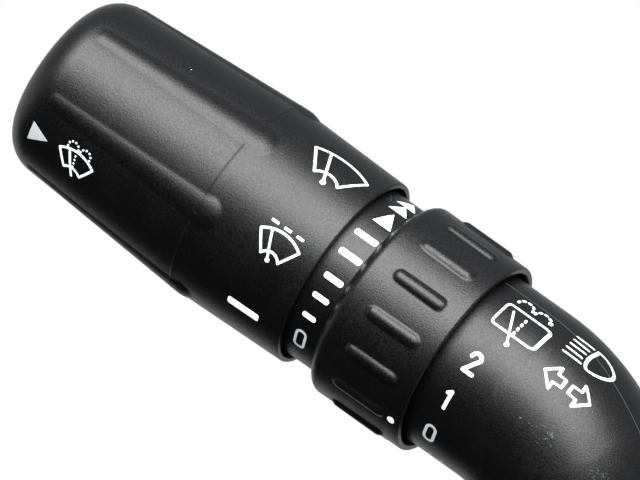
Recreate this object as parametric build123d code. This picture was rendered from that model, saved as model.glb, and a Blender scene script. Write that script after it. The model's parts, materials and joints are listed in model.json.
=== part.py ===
from build123d import *
import math
import os

os.makedirs("parts", exist_ok=True)

# Column stalk with a wiper knob, a rear wiper ring and its switch module.
# Row frame: the driver looks along +Y, +Z is up, the stalk leaves the module towards -X.
# The origin is on the module's mounting face, midway between its two screw holes.
# Stations run along the grip's axis from the knob's rim, minus towards the tip.

# Grip: sizes that show on the outside
KNOB_TIP = -51.25
KNOB_RIM_RADIUS = 15.0
KNOB_PARTING_STATION = -18.6
KNOB_PARTING_PROUD = 0.45
KNOB_SHOULDER_SETBACK = 5.95
KNOB_TAPER = 1.62
KNOB_DOME = 0.5
KNOB_EDGE_ROUND = 5.4
KNOB_RIB_COUNT = 7
KNOB_RIB_PROUD = 0.45
KNOB_RIB_FIRST_TURN = 77.0
KNOB_WIDE_LAND = 61.5
KNOB_RIB_TIP_SETBACK = 4.85
KNOB_RIB_TIP_WIDTH = 3.8
KNOB_RIB_NOSE_STATION = -15.2
KNOB_RIB_NOSE_WIDTH = 5.1
KNOB_LIP_WALL = 0.75
BAND_GAP = 0.7
BAND_START = -2.5
BAND_END = 4.9
RING_PROUD = 0.5
RING_LENGTH = 16.4
RING_SHOULDER_LENGTH = 1.6
RING_SHOULDER_ROUND = 0.4
RING_EDGE_ROUND = 0.3
RING_LIP = 1.05
RING_LIP_GAP = 0.82
RING_LIP_DEPTH = 3.2
RING_RIB_COUNT = 15
RING_RIB_FIRST_TURN = 45.0
RING_RIB_PROUD = 0.4
RING_RIB_WIDTH = 2.0
RING_RIB_LENGTH = 8.8
RING_RIB_SETBACK = 9.2
GRIP_STRAIGHT = 8.8

# Lever: the swan neck between the grip and the module
BEND_ANGLE = 38.0
GRIP_BEND_RADIUS = 19.5
NECK_BEND_RADIUS = 26.0
BEND_GAP = 8.0
NECK_RADIUS = 8.5
NECK_LENGTH = 17.9
SHELL_WALL = 2.0
NECK_WALL = 1.6
BEND_SECTIONS = 8
END_SHARE = 0.015
FULL_SIZE_ANGLE = 34.0

# Turning and tipping of the lever
TURN_PIVOT_X = 6.0
TURN_ANGLE = 8.0
FLASH_ANGLE = 6.0
TURN_HUB_RADIUS = 7.0
TURN_JOURNAL_RADIUS = 4.0
TURN_JOURNAL_LENGTH = 4.0
JOURNAL_BOSS_RADIUS = 6.5
JOURNAL_BOSS_HEIGHT = 6.0
FLASH_OFFSET = 13.5
FLASH_PIN_RADIUS = 1.5
FLASH_LEAF_HALF_WIDTH = 2.5
FLASH_LEAF_SETBACK = 1.5
ROOT_HALF_WIDTH = 5.0
ROOT_HALF_HEIGHT = 5.0
ROOT_COLLAR_OFFSET = 7.5
ROOT_COLLAR_THICKNESS = 2.5
ROOT_STEM_LENGTH = 18.5
FORK_REACH = 5.5
FORK_ARM_THICKNESS = 3.0
FORK_HALF_DEPTH = 6.0
ARM_LENGTH = 18.0
ARM_HALF_HEIGHT = 4.0
ARM_FRONT_OFFSET = 2.8
DETENT_RADIUS = 2.0
DETENT_REACH = 3.0
DETENT_LENGTH = 10.0
DETENT_BORE_OFFSET = 6.0
DETENT_STEP_ANGLE = 7.0
DETENT_NOTCH_DEPTH = 0.3
CAM_GAP = 0.1
CAM_HALF_HEIGHT = 10.0
CAM_FRONT_SETBACK = 2.0
PAWL_OFFSET = 14.0
PAWL_PIN_RADIUS = 1.5
PAWL_HUB_RADIUS = 3.6
PAWL_THICKNESS = 3.4
PAWL_REACH = 7.0
PAWL_TAIL_LENGTH = 5.8
PAWL_FINGER_HALF_WIDTH = 2.0
PAWL_TAIL_HALF_WIDTH = 1.6
PAWL_SLOT_HALF_HEIGHT = 10.0
PAWL_SLOT_SPARE = 1.0
PAWL_RETAINER_THICKNESS = 0.6
PAWL_RETAINER_RIM = 1.5
CANCEL_LEAF_LENGTH = 3.2
DRIVE_PEG_OFFSET = 10.0
DRIVE_PEG_RADIUS = 1.2
DRIVE_PEG_LENGTH = 2.6
DRIVE_PEG_ARC_ROOM = 0.3

# Module housing
HOUSING_LEFT_REACH = 32.0
HOUSING_RIGHT_ROOM = 7.0
HOUSING_HALF_HEIGHT = 21.0
HOUSING_DEPTH = 34.0
HOUSING_WALL = 2.2
HOUSING_FLOOR = 2.5
HOUSING_CORNER = 3.0
COVER_THICKNESS = 2.2
MOUNT_SPACING = 56.0
MOUNT_HOLE_RADIUS = 2.25
BUSH_WALL = 0.95
LUG_RADIUS = 6.5
LUG_THICKNESS = 6.0
GUSSET_THICKNESS = 1.6
GUSSET_RISE = 9.0
GUSSET_REACH = 4.0
SCREW_RADIUS = 1.25
SCREW_HEAD_RADIUS = 2.6
SCREW_HEAD_HEIGHT = 1.5
SCREW_HEAD_ROUND = 0.7
SCREW_LENGTH = 10.0
SCREW_HOLE_SPARE = 2.0
SCREW_BOSS_RADIUS = 3.2
SCREW_INSET = 5.0
COVER_BOSS_RADIUS = 8.0
COVER_BOSS_PROUD = 1.0
LEVER_SLOT_GAP = 1.0

# Contacts and connector
BOARD_THICKNESS = 1.6
BOARD_OFFSET = 7.4
BOARD_WIDTH = 8.8
BOARD_END_GAP = 1.8
SLIDER_HALF_HEIGHT = 6.0
SLIDER_THICKNESS = 3.4
STRIP_THICKNESS = 0.4
STRIP_WIDTH = 1.6
STRIP_INSET = 2.0
STRIP_END_INSET = 1.5
RAIL_LEFT_WIDTH = 0.7
RAIL_RIGHT_WIDTH = 1.7
RAIL_HEIGHT = 2.0
RAIL_END_INSET = 3.0
PIN_SIZE = 0.64
PIN_PITCH = 2.54
PIN_COLUMNS = 4
PIN_ROW_DEPTHS = (6.0, 10.0)
PIN_FOOT_INSET = 2.0
PIN_FOOT_PITCH = 3.0
PIN_RECESS = 5.0
SOCKET_LENGTH = 13.0
SOCKET_WALL = 1.5
SOCKET_HALF_WIDTH = 5.7
SOCKET_HALF_DEPTH = 5.5
SOCKET_CENTRE_DEPTH = 8.0

# Pieces inside the knob and the ring
KNOB_END_WALL = 2.2
KNOB_WALL = 1.53
KNOB_CEILING_CHAMFER = 1.2
KNOB_PUSH_TRAVEL = 2.5
ROTOR_WALL = 2.65
ROTOR_END_WALL = 1.5
ROTOR_CHAMFER = 1.0
ROTOR_FLANGE_PROUD = 1.2
ROTOR_FLANGE_THICKNESS = 1.0
SPLINE_COUNT = 4
SPLINE_PROUD = 0.7
SPLINE_WIDTH = 2.5
SPLINE_INSET = 3.0
RETAINER_THICKNESS = 1.0
RETAINER_OVERLAP = 0.8
RETAINER_ROOM = 0.5
RETAINER_SPLIT = 3.0
HEAD_TUBE_WALL = 1.5
HEAD_SLEEVE_WALL = 2.0
HEAD_SLEEVE_REACH = 5.7
CIRCLIP_SETBACK = 1.5
CIRCLIP_WIDTH = 1.0
CIRCLIP_PROUD = 1.1
CIRCLIP_DEPTH = 0.5
CIRCLIP_SPLIT = 5.0
PUSH_ROD_RADIUS = 2.0
ROD_SOCKET_WALL = 1.5
ROD_SOCKET_LENGTH = 4.0
CONTACT_ROOM = 1.0
ROUND_BOARD_THICKNESS = 1.2
SPIDER_HUB_RADIUS = 4.5
SPIDER_ARM_COUNT = 3
SPIDER_ARM_WIDTH = 1.6
SPIDER_ARM_INSET = 0.5
SWITCH_DEPTH = 9.0
SWITCH_SIZE = 6.0
SWITCH_HEIGHT = 3.0
SWITCH_BUTTON_RADIUS = 1.7
SWITCH_BUTTON_HEIGHT = 1.0
SWITCH_CARRIER_THICKNESS = 1.5
WIRE_SLOT_START = 4.5
WIRE_SLOT_HEIGHT = 1.5
RETURN_SPRING_RADIUS = 5.0
RETURN_SPRING_WIRE = 0.9
RETURN_SPRING_LENGTH = 16.05
RETURN_SPRING_TURNS = 5
DETENT_SPRING_WIRE = 0.3
DETENT_SPRING_TURNS = 5
WIPER_PLUNGER_RADIUS = 0.95
WIPER_PLUNGER_LENGTH = 7.0
WIPER_SPRING_LENGTH = 3.0
WIPER_NOTCH_COUNT = 8
WIPER_NOTCH_STEP = 17.3
LEAF_THICKNESS = 0.3
LEAF_LENGTH = 5.0
LEAF_WIDTH = 7.0
LEAF_DEPTH = 1.0
LEAF_BUMP_RADIUS = 0.6
RING_STOP_COUNT = 4
RING_STOP_STEP = 27.0
RING_BRIDGE_ROOM = 0.7
RING_BRIDGE_INSET = 0.5
RING_BRIDGE_WIDTH = 16.0
RIBBON_WIDTH = 8.0
RIBBON_THICKNESS = 0.8
RIBBON_BEND_RADIUS = 2.0
RIBBON_STEPS = 10

# Clearances
FIT = 0.02
RUN = 0.05
SLIDE = 0.1
FACE_GAP = 0.2
LOOSE = 0.3

# How far a cutting shape runs past the face that it cuts
OVERCUT = 1.0

# Radii of the grip, from the outside in
KNOB_PARTING_RADIUS = KNOB_RIM_RADIUS + KNOB_PARTING_PROUD
KNOB_SHOULDER_RADIUS = KNOB_PARTING_RADIUS - KNOB_TAPER
KNOB_LIP_RADIUS = KNOB_RIM_RADIUS - KNOB_LIP_WALL
BAND_RADIUS = KNOB_LIP_RADIUS - BAND_GAP
RING_RADIUS = KNOB_RIM_RADIUS + RING_PROUD
RING_START_RADIUS = BAND_RADIUS - RUN
RING_LIP_RADIUS = RING_RADIUS - RING_LIP
GRIP_RADIUS = RING_LIP_RADIUS - RING_LIP_GAP
KNOB_BORE_RADIUS = KNOB_SHOULDER_RADIUS - KNOB_WALL
ROTOR_RADIUS = KNOB_BORE_RADIUS - SLIDE
ROTOR_FLANGE_RADIUS = ROTOR_RADIUS + ROTOR_FLANGE_PROUD
RETAINER_BORE_RADIUS = ROTOR_FLANGE_RADIUS - RETAINER_OVERLAP
ROTOR_BORE = ROTOR_RADIUS - ROTOR_WALL
HEAD_TUBE_RADIUS = ROTOR_BORE - RUN
HEAD_TUBE_BORE = HEAD_TUBE_RADIUS - HEAD_TUBE_WALL
HEAD_SLEEVE_RADIUS = HEAD_TUBE_BORE + HEAD_SLEEVE_WALL
SPIGOT_RADIUS = HEAD_SLEEVE_RADIUS + SHELL_WALL
CIRCLIP_RADIUS = HEAD_TUBE_RADIUS + CIRCLIP_PROUD
RING_BORE = SPIGOT_RADIUS + RUN
WIPER_PLUNGER_AXIS = (HEAD_TUBE_RADIUS + ROTOR_FLANGE_RADIUS) / 2
LEAF_BUMP_AXIS = SPIGOT_RADIUS + LOOSE - LEAF_BUMP_RADIUS

# Stations along the grip
KNOB_SHOULDER_STATION = KNOB_TIP + KNOB_SHOULDER_SETBACK
KNOB_RIB_TIP_STATION = KNOB_TIP + KNOB_RIB_TIP_SETBACK
KNOB_CEILING = KNOB_TIP + KNOB_END_WALL
RING_START = BAND_END + FACE_GAP
RING_END = RING_START + RING_LENGTH
RING_RIB_STATION = RING_START + RING_RIB_SETBACK
SPIGOT_END = RING_END - RING_LIP_DEPTH
HEAD_SLEEVE_END = SPIGOT_END + HEAD_SLEEVE_REACH
RING_CAVITY_START = SPIGOT_END - RING_BRIDGE_ROOM
LEAF_STATION = (BAND_END + SPIGOT_END) / 2
GRIP_STRAIGHT_END = RING_END + GRIP_STRAIGHT
ROTOR_FLANGE_END = BAND_START - RETAINER_THICKNESS - KNOB_PUSH_TRAVEL - RETAINER_ROOM
ROTOR_FLANGE_START = ROTOR_FLANGE_END - ROTOR_FLANGE_THICKNESS
CIRCLIP_START = ROTOR_FLANGE_START - CIRCLIP_SETBACK
KNOB_STEP = ROTOR_FLANGE_START - KNOB_PUSH_TRAVEL - FACE_GAP
ROTOR_START = KNOB_CEILING + RETURN_SPRING_LENGTH
ROTOR_INNER_START = ROTOR_START + ROTOR_END_WALL
SPLINE_START = ROTOR_START + SPLINE_INSET
SPLINE_END = KNOB_STEP - SPLINE_INSET
HEAD_TUBE_END = ROTOR_INNER_START + CONTACT_ROOM
SWITCH_TOP = HEAD_TUBE_END + SWITCH_DEPTH
SWITCH_BASE = SWITCH_TOP + SWITCH_BUTTON_HEIGHT
SWITCH_BACK = SWITCH_BASE + SWITCH_HEIGHT
PUSH_ROD_END = SWITCH_TOP - KNOB_PUSH_TRAVEL - FACE_GAP
WIPER_PLUNGER_TIP = ROTOR_FLANGE_END + FACE_GAP / 2
WIPER_PLUNGER_END = WIPER_PLUNGER_TIP + WIPER_PLUNGER_LENGTH
WIPER_BORE_END = WIPER_PLUNGER_END + WIPER_SPRING_LENGTH

# Places of the lever and of the turning pieces
FLASH_PIVOT_X = TURN_PIVOT_X - FLASH_OFFSET
ROOT_COLLAR_END = FLASH_PIVOT_X - ROOT_COLLAR_OFFSET
ROOT_COLLAR_START = ROOT_COLLAR_END - ROOT_COLLAR_THICKNESS
FORK_TIP_X = FLASH_PIVOT_X - FORK_REACH
ARM_END_X = TURN_PIVOT_X + ARM_LENGTH
DETENT_TIP_X = ARM_END_X + DETENT_REACH
DETENT_BORE_START = TURN_PIVOT_X + DETENT_BORE_OFFSET
CAM_RADIUS = DETENT_TIP_X - TURN_PIVOT_X + CAM_GAP
PAWL_PIVOT_X = TURN_PIVOT_X + PAWL_OFFSET
DRIVE_PEG_X = TURN_PIVOT_X + DRIVE_PEG_OFFSET
HOUSING_LEFT = TURN_PIVOT_X - HOUSING_LEFT_REACH
HOUSING_RIGHT = DETENT_TIP_X + HOUSING_RIGHT_ROOM
PAWL_TIP_X = HOUSING_RIGHT + PAWL_REACH
NECK_BEND_X = HOUSING_LEFT - NECK_LENGTH
BEND = math.radians(BEND_ANGLE)
BEND_RISE = (GRIP_BEND_RADIUS + NECK_BEND_RADIUS) * (1 - math.cos(BEND)) + BEND_GAP * math.sin(BEND)
BEND_RUN = (GRIP_BEND_RADIUS + NECK_BEND_RADIUS) * math.sin(BEND) + BEND_GAP * math.cos(BEND)
LEVER_LENGTH = (GRIP_BEND_RADIUS + NECK_BEND_RADIUS) * BEND + BEND_GAP
GRIP_Z = BEND_RISE
GRIP_BEND_X = NECK_BEND_X - BEND_RUN
RIM_X = GRIP_BEND_X - GRIP_STRAIGHT_END
TURN = math.radians(TURN_ANGLE)
FLASH = math.radians(FLASH_ANGLE)
TURN_SWING = NECK_RADIUS / math.cos(TURN) + HOUSING_LEFT_REACH * math.tan(TURN)
FLASH_SWING = NECK_RADIUS / math.cos(FLASH) + (FLASH_PIVOT_X - HOUSING_LEFT) * math.tan(FLASH)
LEVER_SLOT_HALF_HEIGHT = TURN_SWING + LEVER_SLOT_GAP
LEVER_SLOT_HALF_DEPTH = FLASH_SWING + LEVER_SLOT_GAP

# Depths in the module, from the mounting face at zero to the cover
LEVER_Y = -HOUSING_DEPTH / 2
COVER_INNER = -HOUSING_DEPTH + COVER_THICKNESS
HUB_BACK = -HOUSING_FLOOR - JOURNAL_BOSS_HEIGHT - FACE_GAP
HUB_FRONT = COVER_INNER + JOURNAL_BOSS_HEIGHT + FACE_GAP
ARM_BACK = HUB_BACK - SLIDE
ARM_FRONT = LEVER_Y - ARM_FRONT_OFFSET
DETENT_Y = (ARM_BACK + ARM_FRONT) / 2
PAWL_BACK = ARM_FRONT - FACE_GAP
PAWL_FRONT = PAWL_BACK - PAWL_THICKNESS
PAWL_RETAINER_BACK = PAWL_FRONT - FACE_GAP
PAWL_RETAINER_FRONT = PAWL_RETAINER_BACK - PAWL_RETAINER_THICKNESS
BOARD_LEFT = TURN_PIVOT_X + BOARD_OFFSET
BOARD_RIGHT = BOARD_LEFT + BOARD_WIDTH
BOARD_HALF_HEIGHT = HOUSING_HALF_HEIGHT - HOUSING_WALL - BOARD_END_GAP
BOARD_TOP = -HOUSING_FLOOR - BOARD_THICKNESS
STRIP_TOP = BOARD_TOP - FACE_GAP - STRIP_THICKNESS
SLIDER_TOP = STRIP_TOP - SLIDER_THICKNESS
BUSH_RADIUS = MOUNT_HOLE_RADIUS + BUSH_WALL
SOCKET_X = (BOARD_LEFT + BOARD_RIGHT) / 2
SOCKET_END_Z = -HOUSING_HALF_HEIGHT - SOCKET_LENGTH
PIN_END_Z = SOCKET_END_Z + PIN_RECESS


# Shapes that several pieces share


def on_grip(shape):
    """Move a shape from grip coordinates, where the axis is X, to the row frame."""
    return Pos(RIM_X, LEVER_Y, GRIP_Z) * shape


def turned(points):
    """Solid of revolution about the X axis from (station, radius) points."""
    return revolve(make_face(Plane.XZ * Polyline(*points, close=True)), Axis.X)


def rod_x(start, end, radius, y=0.0, z=0.0):
    """Round bar along X."""
    return Pos(start, y, z) * Rot(Y=90) * Cylinder(
        radius, end - start, align=(Align.CENTER, Align.CENTER, Align.MIN)
    )


def rod_y(x, z, start, end, radius):
    """Round bar along Y from the start depth to the end depth."""
    return Pos(x, start, z) * Rot(X=-90) * Cylinder(
        radius, end - start, align=(Align.CENTER, Align.CENTER, Align.MIN)
    )


def block(low, high):
    """Box between two opposite corners."""
    size = [high[i] - low[i] for i in range(3)]
    middle = [(high[i] + low[i]) / 2 for i in range(3)]
    return Pos(*middle) * Box(*size)


def capsule(start, start_radius, end, end_radius):
    """Tapered bar along X with ball ends, the centres of the balls at start and end."""
    tilt = math.asin((end_radius - start_radius) / (end - start))

    def ball_point(centre, radius, angle):
        return (centre + radius * math.sin(angle), radius * math.cos(angle))

    first = ball_point(start, start_radius, -tilt)
    last = ball_point(end, end_radius, -tilt)
    arc_in = ThreePointArc(
        (start - start_radius, 0),
        ball_point(start, start_radius, -(math.pi / 2 + tilt) / 2),
        first,
    )
    arc_out = ThreePointArc(
        last,
        ball_point(end, end_radius, (math.pi / 2 - tilt) / 2),
        (end + end_radius, 0),
    )
    outline = arc_in + Line(first, last) + arc_out + Line(arc_out @ 1, arc_in @ 0)
    return revolve(Plane.XZ * make_face(outline), Axis.X)


def crown_radius(land_radius, width, proud):
    """Section radius of a rib that is this wide and this proud on a round land."""
    half_angle = width / 2 / land_radius
    crest = land_radius + proud
    reach = land_radius * math.cos(half_angle)
    return (land_radius**2 - 2 * crest * reach + crest**2) / (2 * (crest - reach))


def crown_run_out(radius, proud):
    """Distance from a rib's ball centre to where its end meets the land."""
    return math.sqrt(radius**2 - (radius - proud) ** 2)


def coil(radius, wire, start, end, turns):
    """Compression spring of square wire along X, its centre line at the radius."""
    rise = end - start - wire
    path = Helix(rise / turns, rise, radius)
    section = Plane(origin=path @ 0, z_dir=path % 0) * Rectangle(wire, wire)
    body = sweep(section, path=path, is_frenet=True)
    return Pos(start + wire / 2, 0, 0) * Rot(Y=90) * body


# Knob


def knob_land_radius(station):
    """Radius of the knob's smooth land at a station between shoulder and parting line."""
    share = (station - KNOB_SHOULDER_STATION) / (KNOB_PARTING_STATION - KNOB_SHOULDER_STATION)
    return KNOB_SHOULDER_RADIUS + share * (KNOB_PARTING_RADIUS - KNOB_SHOULDER_RADIUS)


def knob_rib():
    """One long crowned rib, lying along the top of the knob."""
    nose_radius = crown_radius(KNOB_PARTING_RADIUS, KNOB_RIB_NOSE_WIDTH, KNOB_RIB_PROUD)
    tip_radius = crown_radius(KNOB_SHOULDER_RADIUS, KNOB_RIB_TIP_WIDTH, KNOB_RIB_PROUD)
    nose = KNOB_RIB_NOSE_STATION - crown_run_out(nose_radius, KNOB_RIB_PROUD)
    tip = KNOB_RIB_TIP_STATION + crown_run_out(tip_radius, KNOB_RIB_PROUD)
    height = knob_land_radius(nose) + KNOB_RIB_PROUD - nose_radius
    return Pos(0, 0, height) * capsule(tip, tip_radius, nose, nose_radius)


def wiper_knob():
    """Cap with crowned ribs, its bore, its spline grooves and its thin rim."""
    corner = (
        KNOB_TIP + KNOB_DOME,
        knob_land_radius(KNOB_TIP + KNOB_DOME),
    )
    dome = ThreePointArc((KNOB_TIP, 0), (KNOB_TIP + KNOB_DOME / 4, corner[1] / 2), corner)
    side = Polyline(
        corner,
        (KNOB_PARTING_STATION, KNOB_PARTING_RADIUS),
        (0, KNOB_RIM_RADIUS),
        (0, 0),
        (KNOB_TIP, 0),
    )
    outline = make_face(dome + side)
    edge = outline.vertices().sort_by_distance(Vector(*corner, 0))[0]
    knob = revolve(Plane.XZ * fillet(edge, KNOB_EDGE_ROUND), Axis.X)
    rib = knob_rib()
    step = (360 - KNOB_WIDE_LAND) / (KNOB_RIB_COUNT - 1)
    for index in range(KNOB_RIB_COUNT):
        knob += Rot(X=KNOB_RIB_FIRST_TURN - index * step) * rib
    groove_start = ROTOR_FLANGE_END - RUN
    groove_end = groove_start + RETAINER_THICKNESS + 2 * RUN
    hollow = turned(
        [
            (KNOB_CEILING, 0),
            (KNOB_CEILING, KNOB_BORE_RADIUS - KNOB_CEILING_CHAMFER),
            (KNOB_CEILING + KNOB_CEILING_CHAMFER, KNOB_BORE_RADIUS),
            (KNOB_STEP, KNOB_BORE_RADIUS),
            (KNOB_STEP, KNOB_LIP_RADIUS),
            (groove_start, KNOB_LIP_RADIUS),
            (groove_start, KNOB_LIP_RADIUS + LOOSE),
            (groove_end, KNOB_LIP_RADIUS + LOOSE),
            (groove_end, KNOB_LIP_RADIUS),
            (OVERCUT, KNOB_LIP_RADIUS),
            (OVERCUT, 0),
        ]
    )
    knob -= hollow
    slot_half_width = SPLINE_WIDTH / 2 + SLIDE
    slot = block(
        (SPLINE_START - KNOB_PUSH_TRAVEL - FACE_GAP, -slot_half_width, 0),
        (KNOB_STEP + OVERCUT, slot_half_width, ROTOR_RADIUS + SPLINE_PROUD + LOOSE),
    )
    for index in range(SPLINE_COUNT):
        knob -= Rot(X=index * 360 / SPLINE_COUNT) * slot
    socket_end = KNOB_CEILING + ROD_SOCKET_LENGTH
    socket = rod_x(KNOB_CEILING - KNOB_END_WALL / 4, socket_end, PUSH_ROD_RADIUS + ROD_SOCKET_WALL)
    knob += socket - rod_x(KNOB_CEILING, socket_end + OVERCUT, PUSH_ROD_RADIUS + RUN)
    return on_grip(knob)


def knob_retaining_ring():
    """Split ring in the knob's groove that keeps the knob on the rotor's flange."""
    outer = KNOB_LIP_RADIUS + LOOSE - RUN
    far = RETAINER_THICKNESS + OVERCUT
    ring = rod_x(0, RETAINER_THICKNESS, outer) - rod_x(-OVERCUT, far, RETAINER_BORE_RADIUS)
    ring -= block((-OVERCUT, -RETAINER_SPLIT / 2, -outer - OVERCUT), (far, RETAINER_SPLIT / 2, 0))
    return on_grip(Pos(ROTOR_FLANGE_END, 0, 0) * ring)


def washer_push_rod():
    """Rod from the knob's cap to the washer switch."""
    return on_grip(rod_x(KNOB_CEILING, PUSH_ROD_END, PUSH_ROD_RADIUS))


# Rotor inside the knob


def wiper_rotor():
    """Drum that turns on the head tube, splined to the knob."""
    rotor = turned(
        [
            (ROTOR_START, PUSH_ROD_RADIUS + LOOSE),
            (ROTOR_START, ROTOR_RADIUS - ROTOR_CHAMFER),
            (ROTOR_START + ROTOR_CHAMFER, ROTOR_RADIUS),
            (ROTOR_FLANGE_START, ROTOR_RADIUS),
            (ROTOR_FLANGE_START, ROTOR_FLANGE_RADIUS),
            (ROTOR_FLANGE_END, ROTOR_FLANGE_RADIUS),
            (ROTOR_FLANGE_END, ROTOR_BORE),
            (CIRCLIP_START + CIRCLIP_WIDTH + FACE_GAP, ROTOR_BORE),
            (CIRCLIP_START + CIRCLIP_WIDTH + FACE_GAP, CIRCLIP_RADIUS + LOOSE),
            (CIRCLIP_START - FACE_GAP, CIRCLIP_RADIUS + LOOSE),
            (CIRCLIP_START - FACE_GAP, ROTOR_BORE),
            (ROTOR_INNER_START, ROTOR_BORE),
            (ROTOR_INNER_START, PUSH_ROD_RADIUS + LOOSE),
        ]
    )
    spline = block(
        (SPLINE_START, -SPLINE_WIDTH / 2, ROTOR_RADIUS - ROTOR_WALL / 2),
        (SPLINE_END, SPLINE_WIDTH / 2, ROTOR_RADIUS + SPLINE_PROUD),
    )
    for index in range(SPLINE_COUNT):
        rotor += Rot(X=index * 360 / SPLINE_COUNT) * spline
    notch = Pos(ROTOR_FLANGE_END + WIPER_PLUNGER_RADIUS - DETENT_NOTCH_DEPTH, 0, WIPER_PLUNGER_AXIS)
    for index in range(WIPER_NOTCH_COUNT):
        rotor -= Rot(X=index * WIPER_NOTCH_STEP) * notch * Sphere(WIPER_PLUNGER_RADIUS + RUN)
    return on_grip(rotor)


def rotor_contact():
    """Brass spider that sweeps the contact board at the head tube's end."""
    back = ROTOR_INNER_START
    front = back + LEAF_THICKNESS
    disc = rod_x(back, front, SPIDER_HUB_RADIUS)
    disc -= rod_x(back - OVERCUT, front + OVERCUT, PUSH_ROD_RADIUS + LOOSE)
    arm = block(
        (back, -SPIDER_ARM_WIDTH / 2, SPIDER_HUB_RADIUS - SPIDER_ARM_WIDTH / 2),
        (front, SPIDER_ARM_WIDTH / 2, HEAD_TUBE_BORE - SPIDER_ARM_INSET),
    )
    for index in range(SPIDER_ARM_COUNT):
        disc += Rot(X=index * 360 / SPIDER_ARM_COUNT) * arm
    return on_grip(disc)


def washer_return_spring():
    """Spring that pushes the knob back out."""
    return on_grip(
        coil(RETURN_SPRING_RADIUS, RETURN_SPRING_WIRE, KNOB_CEILING, ROTOR_START, RETURN_SPRING_TURNS)
    )


# Head tube with the index band


def index_band():
    """Tube in the grip: the scale band outside, the rotor's bearing and the sleeve inside."""
    groove = HEAD_TUBE_RADIUS - CIRCLIP_DEPTH
    tube = turned(
        [
            (HEAD_TUBE_END, HEAD_TUBE_BORE),
            (HEAD_TUBE_END, HEAD_TUBE_RADIUS),
            (CIRCLIP_START, HEAD_TUBE_RADIUS),
            (CIRCLIP_START, groove),
            (CIRCLIP_START + CIRCLIP_WIDTH, groove),
            (CIRCLIP_START + CIRCLIP_WIDTH, HEAD_TUBE_RADIUS),
            (BAND_START, HEAD_TUBE_RADIUS),
            (BAND_START, BAND_RADIUS),
            (BAND_END, BAND_RADIUS),
            (BAND_END, HEAD_SLEEVE_RADIUS),
            (HEAD_SLEEVE_END, HEAD_SLEEVE_RADIUS),
            (HEAD_SLEEVE_END, HEAD_TUBE_BORE),
        ]
    )
    tube -= rod_x(
        BAND_START - OVERCUT, WIPER_BORE_END, WIPER_PLUNGER_RADIUS + RUN, z=WIPER_PLUNGER_AXIS
    )
    return on_grip(tube)


def rotor_circlip():
    """Split ring that keeps the rotor on the head tube."""
    inner = HEAD_TUBE_RADIUS - CIRCLIP_DEPTH + RUN
    far = CIRCLIP_WIDTH + OVERCUT
    ring = rod_x(RUN, CIRCLIP_WIDTH - RUN, CIRCLIP_RADIUS) - rod_x(-OVERCUT, far, inner)
    ring -= block((-OVERCUT, -CIRCLIP_SPLIT / 2, -CIRCLIP_RADIUS - OVERCUT), (far, CIRCLIP_SPLIT / 2, 0))
    return on_grip(Pos(CIRCLIP_START, 0, 0) * ring)


def wiper_contact_board():
    """Round board at the head tube's end that the spider sweeps."""
    end = HEAD_TUBE_END + ROUND_BOARD_THICKNESS
    board = rod_x(HEAD_TUBE_END, end, HEAD_TUBE_BORE - RUN)
    board -= rod_x(HEAD_TUBE_END - OVERCUT, end + OVERCUT, PUSH_ROD_RADIUS + LOOSE)
    return on_grip(board)


def washer_switch():
    """Push switch that the rod presses, with its round button."""
    half = SWITCH_SIZE / 2
    switch = block((SWITCH_BASE, -half, -half), (SWITCH_BACK, half, half))
    switch += rod_x(SWITCH_TOP, SWITCH_BASE, SWITCH_BUTTON_RADIUS)
    return on_grip(switch)


def switch_carrier():
    """Disc across the head tube that holds the washer switch."""
    end = SWITCH_BACK + SWITCH_CARRIER_THICKNESS
    disc = rod_x(SWITCH_BACK, end, HEAD_TUBE_BORE - RUN)
    disc -= block(
        (SWITCH_BACK - OVERCUT, -RIBBON_WIDTH / 2, WIRE_SLOT_START),
        (end + OVERCUT, RIBBON_WIDTH / 2, WIRE_SLOT_START + WIRE_SLOT_HEIGHT),
    )
    return on_grip(disc)


def wiper_detent_plunger():
    """Pin with a round tip that clicks into the rotor's flange."""
    ball = WIPER_PLUNGER_TIP + WIPER_PLUNGER_RADIUS
    pin = rod_x(ball, WIPER_PLUNGER_END, WIPER_PLUNGER_RADIUS)
    pin += Pos(ball, 0, 0) * Sphere(WIPER_PLUNGER_RADIUS)
    return on_grip(Pos(0, 0, WIPER_PLUNGER_AXIS) * pin)


def wiper_detent_spring():
    """Spring behind the wiper detent plunger."""
    radius = WIPER_PLUNGER_RADIUS - DETENT_SPRING_WIRE / 2 - RUN
    spring = coil(radius, DETENT_SPRING_WIRE, WIPER_PLUNGER_END, WIPER_BORE_END, DETENT_SPRING_TURNS)
    return on_grip(Pos(0, 0, WIPER_PLUNGER_AXIS) * spring)


# Rear wiper ring


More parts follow.
